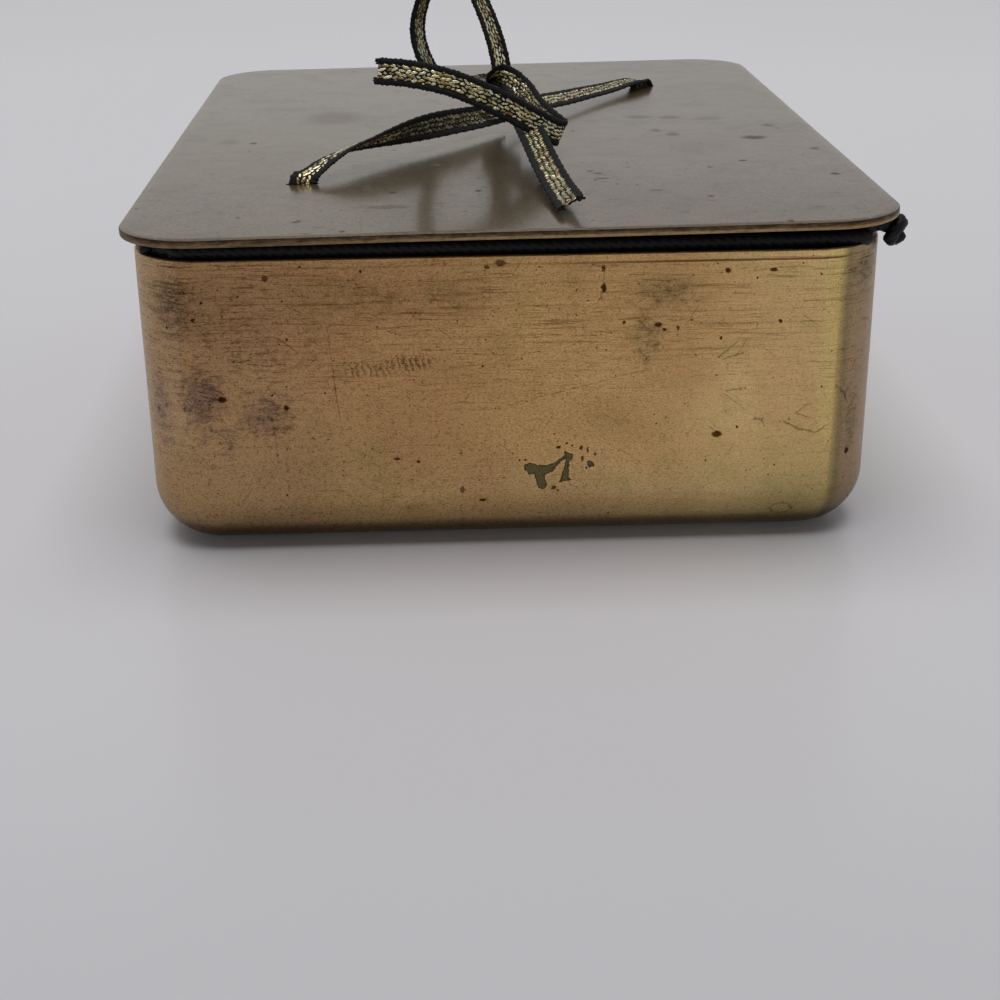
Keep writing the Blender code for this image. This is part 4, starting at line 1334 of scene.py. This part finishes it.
def cord_route():
    """From one end in the knot, over the rim, round on the lining, and out to the knot again."""
    half_x = BODY_WIDTH / 2 - CORD_INSET
    half_y = BODY_DEPTH / 2 - CORD_INSET
    radius = BODY_CORNER_RADIUS - CORD_INSET
    corner_x = half_x - radius
    corner_y = -(half_y - radius)
    rim_x = BODY_WIDTH / 2
    low, high = CORD_LOW_Z, CORD_HIGH_Z
    # This end wraps round the other one
    wrap = [
        (rim_x + 2.3 * MM, corner_y - 1.3 * MM, high - 1.3 * MM),
        (rim_x + 1.6 * MM, corner_y - 1.9 * MM, high - 1.75 * MM),
        (rim_x + 0.75 * MM, corner_y - 2.9 * MM, high - 1.55 * MM),
        (rim_x + 1.0 * MM, corner_y - 3.35 * MM, high - 0.6 * MM),
        (rim_x + 1.9 * MM, corner_y - 2.6 * MM, high + 0.15 * MM),
        (rim_x + 1.5 * MM, corner_y - 1.3 * MM, high + 0.1 * MM),
        (rim_x + 0.3 * MM, corner_y - 0.3 * MM, high + 0.05 * MM),
        (rim_x - 0.9 * MM, corner_y + 0.6 * MM, high),
        (half_x, corner_y + 2.6 * MM, low + 0.2 * MM),
    ]
    straight = [(half_x, corner_y + 6 * MM, low), (half_x, 0, low)]
    stations, _ = rounded_outline(2 * half_x, 2 * half_y, radius, 4, half_x)
    ring = [centre + outward * radius for centre, outward, _ in stations]
    back_right = min(range(len(ring)), key=lambda i: (ring[i] - Vector((half_x, -corner_y))).length)
    ordered = ring[back_right:] + ring[:back_right]
    around = [(p.x, p.y, low) for p in ordered if p.y > 0 or p.x < corner_x * 0.98]
    front_end = [
        (corner_x + 0.42 * radius, corner_y - 0.91 * radius, low),
        (corner_x + 0.78 * radius, corner_y - 0.70 * radius, low + 0.2 * MM),
        (rim_x - 1.0 * MM, corner_y - 2.8 * MM, high),
        (rim_x + 0.2 * MM, corner_y - 2.6 * MM, high - 0.1 * MM),
        (rim_x + 1.3 * MM, corner_y - 2.5 * MM, high - 0.8 * MM),
        (rim_x + 2.1 * MM, corner_y - 2.7 * MM, high - 1.9 * MM),
    ]
    points = [Vector(p) for p in wrap + straight + around + front_end]
    return smooth_route(points, 0.8 * MM)


def make_cord():
    """Three strands laid round each other along the cord's route."""
    at, (points,) = evenly(cord_route(), CORD_STEP)
    _, sides, ups = carried_frames(points)
    strand = CORD_RADIUS * STRAND_SHARE
    offset = CORD_RADIUS - strand
    # The ends are pulled tighter in the knot
    tight = np.clip(np.minimum(at, at[-1] - at) / CORD_KNOT_REACH, 0.0, 1.0) * 0.2 + 0.8
    parts = []
    for number in range(3):
        turn = 2 * math.pi * (at / CORD_LAY + number / 3)
        shift = sides * np.cos(turn)[:, None] + ups * np.sin(turn)[:, None]
        centres = points + shift * (offset * tight)[:, None]
        _, strand_sides, strand_ups = carried_frames(centres)
        swell = 1 + 0.02 * np.sin(at / (0.9 * MM) + number * 2)
        taper = np.clip(np.minimum(at, at[-1] - at) / (0.25 * MM), 0.35, 1.0)
        radii = strand * tight * swell * taper
        parts.append(tube_grid(centres, strand_sides, strand_ups, radii, 10))
    vertices, faces = joined(parts)
    cord = mesh_object("twisted_edge_cord", vertices, faces, [black_thread()])
    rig.ride(cord, "box")
    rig.replaces(cord, "edge_cord")
    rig.slot(cord, "black_cord")
    return cord


# The lid


def block(name, size, place, turn=0.0):
    """A cutter with rounded ends, in the lid's frame."""
    bm = bmesh.new()
    bmesh.ops.create_cube(bm, size=1.0)
    bmesh.ops.scale(bm, verts=bm.verts, vec=size)
    upright = [e for e in bm.edges if abs(e.verts[0].co.z - e.verts[1].co.z) > size[2] / 2]
    rounding = min(size[0], size[1]) * 0.48
    bmesh.ops.bevel(bm, geom=upright, offset=rounding, segments=5, profile=0.5, affect="EDGES")
    local = LID_FRAME @ Matrix.Translation(place) @ Matrix.Rotation(turn, 4, "Z")
    bmesh.ops.transform(bm, matrix=local, verts=bm.verts)
    return linked(name, closed(bm, bpy.data.meshes.new(name)))


def make_lid():
    """The plate with its two slits, very slightly out of flat, its corners burnished round."""
    outline = rounded_outline(LID_WIDTH, LID_DEPTH, LID_CORNER_RADIUS, 16, 2.6 * MM)
    edge = 0.14 * MM
    margin = 1.2 * MM
    profile = measured(sheet_edge(margin, 0.0, LID_THICKNESS, edge, 3), -margin)
    materials = [lid_brass(), lid_edge_brass()]
    lid = loft("lid_sheet", outline, LID_CORNER_RADIUS, profile, materials)
    bm = opened(lid)
    pitch = 3.2 * MM
    for across, length in ((Vector((1, 0, 0)), LID_WIDTH), (Vector((0, 1, 0)), LID_DEPTH)):
        count = int(length / pitch)
        for number in range(1, count):
            place = across * (number * pitch - count * pitch / 2)
            everything = bm.verts[:] + bm.edges[:] + bm.faces[:]
            bmesh.ops.bisect_plane(
                bm, geom=everything, dist=CUT_DISTANCE, plane_co=place, plane_no=across
            )
    for face in bm.faces:
        face.material_index = int(abs(face.normal.z) < 0.8)
    for vertex in bm.verts:
        vertex.co.z += uneven(vertex.co, 0.05 * MM, 26 * MM)
        vertex.co.z += uneven(vertex.co + Vector((0.3, 0.1, 0)), 0.012 * MM, 8 * MM)
    closed(bm, lid.data).transform(LID_FRAME)
    for side in (-1, 1):
        size = ((RIBBON_WIDTH + SLIT_ENDS) * MM, SLIT_WIDTH * MM, 4 * MM)
        place = (side * SLIT_X * MM, side * SLIT_Y * MM, 0)
        subtract(lid, block("slit", size, place))
    lid.data.shade_smooth()
    lid.data.set_sharp_from_angle(angle=math.radians(40))
    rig.ride(lid, "lid")
    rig.replaces(lid, "lid_plate")
    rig.slot(lid, "lid_brass")
    return lid


def make_panel(pile):
    """The covered board under the plate, with the ribbon's channel pressed into its top."""
    outline, radius = pan_outline(PANEL_INSET, 10, 4 * MM)
    top = -SEAT_GAP
    points = sheet_edge(2.5 * MM, top - PANEL_THICKNESS, top, 0.7 * MM, 6)
    panel = loft("velvet_lid_panel", outline, radius, measured(points), [pile])
    panel.data.transform(LID_FRAME)
    run = 2 * math.hypot(SLIT_X, SLIT_Y) * MM
    size = (run + CHANNEL_ENDS * MM, CHANNEL_WIDTH * MM, 2 * CHANNEL_DEPTH * MM)
    turn = math.atan2(SLIT_Y, SLIT_X)
    subtract(panel, block("channel", size, (0, 0, top), turn))
    panel.data.shade_smooth()
    panel.data.set_sharp_from_angle(angle=math.radians(50))
    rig.ride(panel, "lid")
    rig.replaces(panel, "lid_panel")
    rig.slot(panel, "black_velvet")
    return panel


# The ribbon. Each station is a point in mm from the middle of the lid's top, and the direction
# across the ribbon there.


def slit_passage(side):
    """Through one slit, from the top face down to the run underneath.

    Under the plate the band leaves square to the slit and only then turns towards the middle.
    """
    x = side * SLIT_X
    y = side * SLIT_Y
    turn = RIBBON_THICKNESS
    flat = (-1, 0, 0)
    return [
        ((x - side * 0.4, y - side * 0.55, 0.75), flat),
        ((x, y, 0.1), flat),
        ((x, y, UNDER_RUN_Z + turn), flat),
        ((x, y - side * 0.3 * turn, UNDER_RUN_Z + 0.3 * turn), flat),
        ((x, y - side * turn, UNDER_RUN_Z), flat),
        ((x - side * 0.06, y - side * (turn + 0.6), UNDER_RUN_Z), flat),
        ((x - side * 0.32, y - side * (turn + 1.2), UNDER_RUN_Z), flat),
        ((x - side * 0.72, y - side * (turn + 1.75), UNDER_RUN_Z), flat),
    ]


def strand(side, rows):
    """A strand from the knot towards one slit, flat against the lid where its turn is 90.

    Each row is the part of the way to the slit, the height and the turn in degrees.
    """
    start = Vector(KNOT).to_2d()
    end = Vector((SLIT_X, SLIT_Y)) * side
    square = Vector((SLIT_Y, -SLIT_X)).normalized()
    stations = []
    for part, height, turn in rows:
        place = start.lerp(end, part)
        across = square * math.sin(math.radians(turn))
        stations.append(((*place, height), (*across, -math.cos(math.radians(turn)))))
    return stations


def threaded_stations():
    """From the knot down through the left slit, under the plate, and back up on the right."""
    along = Vector((SLIT_X, SLIT_Y)).normalized()
    square = (-along.y, along.x, 0)
    run = math.hypot(SLIT_X, SLIT_Y) - 4.8
    left_rows = [
        (0.02, 2.2, 36),
        (0.14, 2.25, 36),
        (0.28, 2.55, 22),
        (0.40, 2.75, 2),
        (0.51, 2.85, -20),
        (0.61, 2.85, -40),
        (0.70, 2.75, -56),
        (0.80, 2.60, -70),
        (0.89, 1.95, -82),
        (0.95, 1.2, -88),
    ]
    right_rows = [
        (0.02, 3.1, -122),
        (0.16, 2.3, -120),
        (0.38, 1.75, -116),
        (0.55, 1.55, -110),
        (0.72, 1.35, -103),
        (0.86, 1.35, -95),
        (0.95, 1.2, -92),
    ]
    # Stations close together near the slits, or the smooth route would swing past them
    flat_run = []
    for inward in (0, 4, 12, 24):
        flat_run.append(((*((inward - run) * along), UNDER_RUN_Z), square))
    for inward in (24, 12, 4, 0):
        flat_run.append(((*((run - inward) * along), UNDER_RUN_Z), square))
    down = slit_passage(-1)
    up = list(reversed(slit_passage(1)))
    return strand(-1, left_rows) + down + flat_run + up + list(reversed(strand(1, right_rows)))


UPRIGHT_LOOP = [
    ((0.6, 0.7, 5.6), (0.5, 0.8, 0)),
    ((-1.6, 1.3, 6.4), (0.5, 0.85, 0.2)),
    ((-4.9, 2.2, 5.9), (0.55, 0.8, 0.3)),
    ((-8.0, 3.2, 7.4), (0.6, 0.8, 0.1)),
    ((-9.6, 3.6, 12.0), (0.6, 0.8, 0)),
    ((-8.6, 3.2, 16.6), (0.6, 0.8, 0)),
    ((-5.9, 2.6, 20.2), (0.6, 0.8, 0)),
    ((-3.2, 2.0, 19.6), (0.65, 0.75, 0)),
    ((-1.2, 1.6, 15.6), (0.7, 0.7, 0)),
    ((0.2, 1.2, 11.8), (0.75, 0.65, 0)),
    ((1.0, 0.8, 8.4), (0.8, 0.6, 0)),
    ((1.3, 0.4, 5.4), (0.8, 0.6, 0)),
]
CURLED_TAIL = [
    ((0.3, 0.9, 4.0), (0.15, -0.95, 0.1)),
    ((-1.35, 0.2, 5.3), (0.2, -0.95, 0.1)),
    ((-0.4, -0.5, 6.8), (0.4, -0.85, 0.15)),
    ((1.6, -2.0, 6.9), (0.75, -0.45, 0.4)),
    ((3.5, -4.8, 5.7), (0.8, 0.1, 0.6)),
    ((4.7, -9.8, 4.4), (0.75, 0.2, 0.65)),
    ((6.1, -15.2, 3.6), (0.6, 0.3, 0.8)),
    ((7.4, -19.0, 3.0), (0.5, 0.3, 0.85)),
    ((7.2, -21.0, 3.1), (0.4, 0.3, 0.9)),
    ((5.4, -22.0, 4.1), (0.3, 0.25, 0.93)),
    ((0.0, -23.0, 7.2), (0.34, 0.28, 0.93)),
    ((-5.4, -23.4, 9.7), (0.3, 0.35, 0.93)),
    ((-10.4, -23.0, 10.9), (0.16, 0.25, 0.95)),
    ((-14.3, -22.0, 11.2), (0.26, 0.25, 0.94)),
]
FRONT_TAIL = [
    ((1.2, 0.2, 4.4), (1, 0.1, 0)),
    ((2.0, -6.0, 4.7), (0.95, 0.1, 0.15)),
    ((3.0, -15.5, 4.3), (0.93, 0.1, 0.25)),
    ((3.8, -25.0, 3.5), (0.93, 0.1, 0.3)),
    ((4.6, -33.0, 2.2), (0.94, 0.1, 0.28)),
    ((5.5, -41.2, 1.25), (0.93, 0.22, 0.27)),
    ((6.2, -49.3, 1.1), (0.80, 0.50, 0.45)),
]


def over_lid(points):
    """Points in mm from the middle of the lid's top, in metres in the model's frame."""
    world = np.array(LID_TOP)
    return points * MM @ world[:3, :3].T + world[:3, 3]


def band_path(stations, step):
    """Even points along a stretch of ribbon in mm, with its tangents, across and face."""
    points = [Vector(place) for place, _ in stations]
    route = smooth_route(points, ROUTE_STEP)
    across = []
    for index in range(len(points) - 1):
        count = max(1, round((points[index + 1] - points[index]).length / ROUTE_STEP))
        start = Vector(stations[index][1]).normalized()
        end = Vector(stations[index + 1][1]).normalized()
        across += [start.lerp(end, part / count) for part in range(count)]
    across.append(Vector(stations[-1][1]).normalized())
    at, (centres, sides) = evenly(route, step, across)
    tangents = unit(np.gradient(centres, axis=0))
    sides = sides - tangents * (sides * tangents).sum(1, keepdims=True)
    sides = unit(sides)
    return at, centres, tangents, sides, np.cross(tangents, sides)


def stitch_height(across, along, seed, columns, pitch):
    """How high the gold stands, 0 to 1, and each stitch's own tint."""
    width = 2 * GOLD_HALF / columns
    # The columns wander a little, as they do in a hand-tied ribbon
    drift = 0.07 * np.sin(along * 1.7 + seed) + 0.04 * np.sin(along * 4.1 + 2 * seed)
    place = (across + drift + GOLD_HALF) / width
    column = np.floor(place)
    part = place - column
    slant = np.where(column % 2 == 0, 0.55, -0.55)
    phase = along / pitch + slant * (part - 0.5) + 0.5 * (column % 2)
    phase = phase + 0.16 * np.sin(along * 2.9 + column * 2.1 + seed)
    row = np.floor(phase)
    up = phase - row
    tint = np.modf(np.abs(np.sin(row * 12.9898 + column * 78.233 + seed) * 43758.5453))[0]
    lean = np.modf(np.abs(np.sin(row * 39.346 + column * 11.135 + seed) * 24634.6345))[0]
    # Each stitch is an oval of its own size that leans its own way, to catch the light by itself
    size = 0.82 + 0.28 * lean
    reach = np.abs((2.1 * part - 1.05) / size) ** 2.2 + np.abs((2.0 * up - 1.0) / size) ** 2.0
    bead = np.sqrt(np.clip(1.02 - reach, 0, 1))
    bead = bead * (1 + 1.3 * (tint - 0.5) * (up - 0.5) * 2)
    scallop = 0.12 * np.sin(2 * math.pi * along / SCALLOP_PITCH + seed * np.sign(across))
    inside = np.clip((GOLD_HALF + scallop - np.abs(across)) / 0.10, 0, 1)
    return np.clip(bead, 0, 1.3) * inside * (0.6 + 0.4 * lean), tint


def band_mesh(stations, step, seed, gold, columns, pitch):
    """A stretch of the woven band: vertices in mm, faces, and three values at each vertex.

    gold is how much of its stitches shows: they draw in where the ribbon is pulled tight.
    """
    at, centres, _, sides, faces_out = band_path(stations, step)
    grid = np.linspace(-1, 1, BAND_COLUMNS)
    half_width = RIBBON_WIDTH / 2
    across = np.sign(grid) * (np.abs(grid) ** 0.94) * half_width
    rows = len(at)
    along = at[:, None] + np.zeros_like(across)[None, :]
    across = across[None, :] + np.zeros((rows, 1))
    height, tint = stitch_height(across, along, seed, columns, pitch)
    height = height * gold
    # The selvedges are rounded and knobbly, where the yarn turns back
    margin = np.clip((np.abs(across) - GOLD_HALF) / (half_width - GOLD_HALF), 0, 1)
    selvedge = np.sqrt(np.clip(np.sin(math.pi * margin), 0, 1))
    edge = np.sign(across)
    wander = 0.7 * np.sin(along * 1.9 + seed + edge) + 0.5 * np.sin(along * 5.3 + 3 * seed)
    rib = 0.5 + 0.5 * np.sin(2 * math.pi * along / KNOB_PITCH + 1.3 * edge + wander)
    knobs = rib * (0.65 + 0.35 * np.sin(along * 3.7 + seed * edge))
    thick = 0.075 + 0.13 * height + 0.16 * selvedge * (0.55 + 0.45 * knobs)
    thick = np.where(margin > 0.999, 0.03, thick)
    outer = np.clip((margin - 0.35) / 0.65, 0, 1)
    spread = across + edge * outer * (0.14 * knobs - 0.06)
    # The band is slightly cupped, its selvedges standing forward
    cup = 0.10 * (np.abs(across) / half_width) ** 2
    middle = centres[:, None, :] + sides[:, None, :] * spread[..., None]
    middle = middle + faces_out[:, None, :] * cup[..., None]
    front = middle + faces_out[:, None, :] * thick[..., None]
    back = middle - faces_out[:, None, :] * thick[..., None]
    ring = np.concatenate([front, back[:, ::-1]], axis=1)
    stitch = np.concatenate([height, height[:, ::-1]], axis=1)
    tints = np.concatenate([tint, tint[:, ::-1]], axis=1)
    distance = np.concatenate([along, along], axis=1)
    faces = ring_faces(rows, ring.shape[1], flipped=True)
    return ring.reshape(-1, 3), faces, stitch.ravel(), tints.ravel(), distance.ravel()


def make_band(name, stations, weave, seed, gold=1.0, glow=((0, 1),), columns=4, pitch=0.8):
    """A stretch of the ribbon. The painted shading gives how bright its gold is painted at distances along it in mm,
    darker where the band lies in shade.
    """
    step = min(BAND_STEP, pitch / 6)
    vertices, faces, stitch, tint, distance = band_mesh(stations, step, seed, gold, columns, pitch)
    band = mesh_object(name, over_lid(vertices), faces, [weave])
    marks, levels = zip(*glow)
    brightness = np.interp(distance, marks, levels)
    for key, values in (("stitch", stitch), ("tint", tint), ("glow", brightness)):
        layer = band.data.attributes.new(key, "FLOAT", "POINT")
        layer.data.foreach_set("value", values.astype(np.float32))
    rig.ride(band, "lid")
    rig.replaces(band, "ribbon_bow")
    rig.slot(band, "black_gold_ribbon")
    return band


def knot_stations(centre, radius, lean, turns, start):
    """Stations of the ribbon where it wraps round the knot."""
    middle = Vector(centre)
    axis = Vector(lean).normalized()
    first = axis.orthogonal().normalized()
    second = axis.cross(first)
    stations = []
    count = 10 * turns
    for step in range(int(count) + 1):
        angle = start + 2 * math.pi * step / 10
        out = first * math.cos(angle) + second * math.sin(angle)
        reach = radius * (1 + 0.1 * step / count)
        place = middle + out * reach + axis * (0.5 * step / count - 0.25)
        stations.append((tuple(place), tuple(axis + 0.15 * out)))
    return stations


def frayed_end(name, stations, material, count, seed):
    """Soft tufts of yarn at a cut end, and a few loose hairs along the edges."""
    rng = random.Random(seed)
    _, centres, tangents, sides, faces_out = band_path(stations, 0.2)
    parts = []
    for number in range(count):
        at_end = number < count * 0.5
        index = -1 if at_end else rng.randrange(2, len(centres))
        # Most of the yarn at the cut comes from the two selvedges
        side = rng.choice((-1, 1)) * (rng.uniform(0.66, 1.0) if at_end else 1.0)
        start = Vector(centres[index]) + Vector(sides[index]) * side * RIBBON_WIDTH * 0.44
        start += Vector(faces_out[index]) * rng.uniform(-0.16, 0.2)
        if at_end:
            heading = Vector(tangents[index]) + Vector(sides[index]) * rng.uniform(-0.8, 0.8)
            length = rng.uniform(0.2, 0.62)
            thick = rng.uniform(0.09, 0.18)
        else:
            heading = Vector(sides[index]) * side + Vector(tangents[index]) * rng.uniform(-1.6, 1.6)
            length = rng.uniform(0.14, 0.36)
            thick = rng.uniform(0.022, 0.045)
        heading += Vector(faces_out[index]) * rng.uniform(-0.7, 0.7)
        heading.normalize()
        curl = Vector(faces_out[index]) * rng.uniform(-0.5, 0.5) * length
        halfway = start + heading * length * 0.5
        points = [start - heading * 0.15, halfway, start + heading * length * 0.8 + curl]
        _, (line_points,) = evenly(smooth_route(points, 0.06), 0.06)
        _, hair_sides, hair_ups = carried_frames(line_points)
        ends = np.sin(np.linspace(0.5, math.pi - 0.25, len(line_points)))
        parts.append(tube_grid(line_points, hair_sides, hair_ups, thick * ends, 6))
    vertices, faces = joined(parts)
    fray = mesh_object(name, over_lid(vertices), faces, [material])
    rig.ride(fray, "lid")
    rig.replaces(fray, "ribbon_bow")
    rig.slot(fray, "black_gold_ribbon")
    return fray


def world_path(stations):
    """A stretch's centreline in the model's frame, and its length, in metres."""
    at, centres, _, _, _ = band_path(stations, 0.5)
    return over_lid(centres).tolist(), float(at[-1]) * MM


def make_ribbon():
    """The threaded run, the loop, the two tails with their frayed ends, and the knot."""
    weave = woven_ribbon()
    loose = yarn_end()
    # The painted shade of each stretch: how bright its gold is at distances along it
    run_painted_shading = ((0, 0.3), (7, 0.45), (12, 0.18), (20, 0.12), (23, 0.8), (34, 1.0), (160, 1.0))
    threaded = threaded_stations()
    make_band("ribbon_threaded_run", threaded, weave, 2.0, glow=run_painted_shading, columns=3, pitch=0.85)
    loop_painted_shading = ((0, 0.3), (14, 0.55), (28, 0.6), (36, 0.9), (55, 1.0))
    make_band("ribbon_upright_loop", UPRIGHT_LOOP, weave, 5.0, gold=1.1, glow=loop_painted_shading)
    tail_painted_shading = ((0, 0.9), (24, 0.6), (32, 0.8), (42, 1.0), (52, 0.9), (60, 0.8))
    curled = make_band("ribbon_curled_tail", CURLED_TAIL, weave, 9.0, glow=tail_painted_shading)
    front = make_band("ribbon_front_tail", FRONT_TAIL, weave, 4.0, columns=3, pitch=0.62)
    wrap = knot_stations((0.9, 0.5, 4.6), 1.75, (0.5, 0.55, 0.65), 1.4, 0.6)
    make_band("ribbon_knot_wrap", wrap, weave, 6.0, gold=0.8)
    # The second turn shows almost no gold: a dark turn of ribbon that stands in for the shaded hollow under the knot
    second = knot_stations((1.1, 0.2, 4.7), 1.3, (-0.7, 0.6, 0.3), 1.3, 2.0)
    make_band("ribbon_knot_turn", second, weave, 8.0, gold=0.3)
    curled_fray = frayed_end("curled_tail_fray", CURLED_TAIL, loose, 110, 3)
    front_fray = frayed_end("front_tail_fray", FRONT_TAIL, loose, 110, 4)
    tails = ((curled, CURLED_TAIL, curled_fray), (front, FRONT_TAIL, front_fray))
    for tail, stations, fray in tails:
        path, length = world_path(stations)
        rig.cord(
            tail,
            exit=path[0],
            length=length,
            diameter=RIBBON_WIDTH * MM,
            far_end="bare",
            stiffness="limp",
            lay="loose",
            path=path,
            with_pieces=[fray],
        )


# Camera, table and light


def make_camera():
    """The photograph's view of the box."""
    data = bpy.data.cameras.new("camera")
    data.lens = CAMERA_LENS_MM
    data.sensor_width = CAMERA_SENSOR_MM
    data.clip_start = 0.01
    camera = linked("camera", data)
    north = math.cos(CAMERA_HEADING) * math.cos(CAMERA_DOWN)
    east = math.sin(CAMERA_HEADING) * math.cos(CAMERA_DOWN)
    ahead = Vector((east, north, -math.sin(CAMERA_DOWN)))
    level = Vector((math.cos(CAMERA_HEADING), -math.sin(CAMERA_HEADING), 0))
    upright = level.cross(ahead)
    right = level * math.cos(CAMERA_ROLL) + upright * math.sin(CAMERA_ROLL)
    up = upright * math.cos(CAMERA_ROLL) - level * math.sin(CAMERA_ROLL)
    turned = Matrix((right, up, -ahead)).transposed().to_4x4()
    camera.matrix_world = Matrix.Translation(CAMERA_PLACE) @ turned
    bpy.context.scene.camera = camera


def make_table():
    """A wide pale table top."""
    bm = bmesh.new()
    bmesh.ops.create_circle(bm, cap_ends=True, segments=96, radius=TABLE_RADIUS)
    mesh = closed(bm, bpy.data.meshes.new("table"))
    mesh.materials.append(table_top())
    table = linked("table", mesh)
    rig.stage(table)


def area_light(name, place, target, size, power, colour):
    """A square lamp at a place, turned towards its target."""
    data = bpy.data.lights.new(name, "AREA")
    data.shape = "RECTANGLE"
    data.size = size
    data.size_y = size
    data.energy = power
    data.color = colour
    light = linked(name, data)
    light.location = place
    light.rotation_euler = (Vector(target) - Vector(place)).to_track_quat("-Z", "Y").to_euler()


def pale_room():
    """Walls that are pale near the horizon, and a ceiling that is dark but for its far part."""
    n = Nodes("pale_room", "worlds", "Background")
    direction = n.add("ShaderNodeTexCoord").outputs["Generated"]
    _, far, above = n.parts(direction)
    walls = n.range(above, 0.46, 0.26, 0.0, 0.72)
    ceiling = n.range(above, 0.86, 0.60, 0.05, 0.38)
    ceiling = n.product(ceiling, n.range(far, -0.15, 0.25, 0.05, 1.0))
    return n.finish(Color=(0.97, 0.975, 1.0), Strength=n.most(walls, ceiling))


def make_light():
    """A broad lamp overhead in a pale room."""
    bpy.context.scene.world = pale_room()
    area_light("overhead_lamp", LAMP_PLACE, LAMP_TARGET, LAMP_SIZE, LAMP_POWER, LAMP_COLOUR)


make_camera()
make_ribbon()
make_pan()
pile_cloth = velvet()
make_lining(pile_cloth)
make_base_pad(pile_cloth)
make_cord()
make_lid()
make_panel(pile_cloth)
make_table()
make_light()
bpy.context.scene.view_settings.view_transform = "Standard"

with open("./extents.json", "w") as sizes:
    boxes = {"cad": CAD_BOUNDS, "visual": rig.bounds()}
    json.dump({key: [list(corner) for corner in value] for key, value in boxes.items()}, sizes)
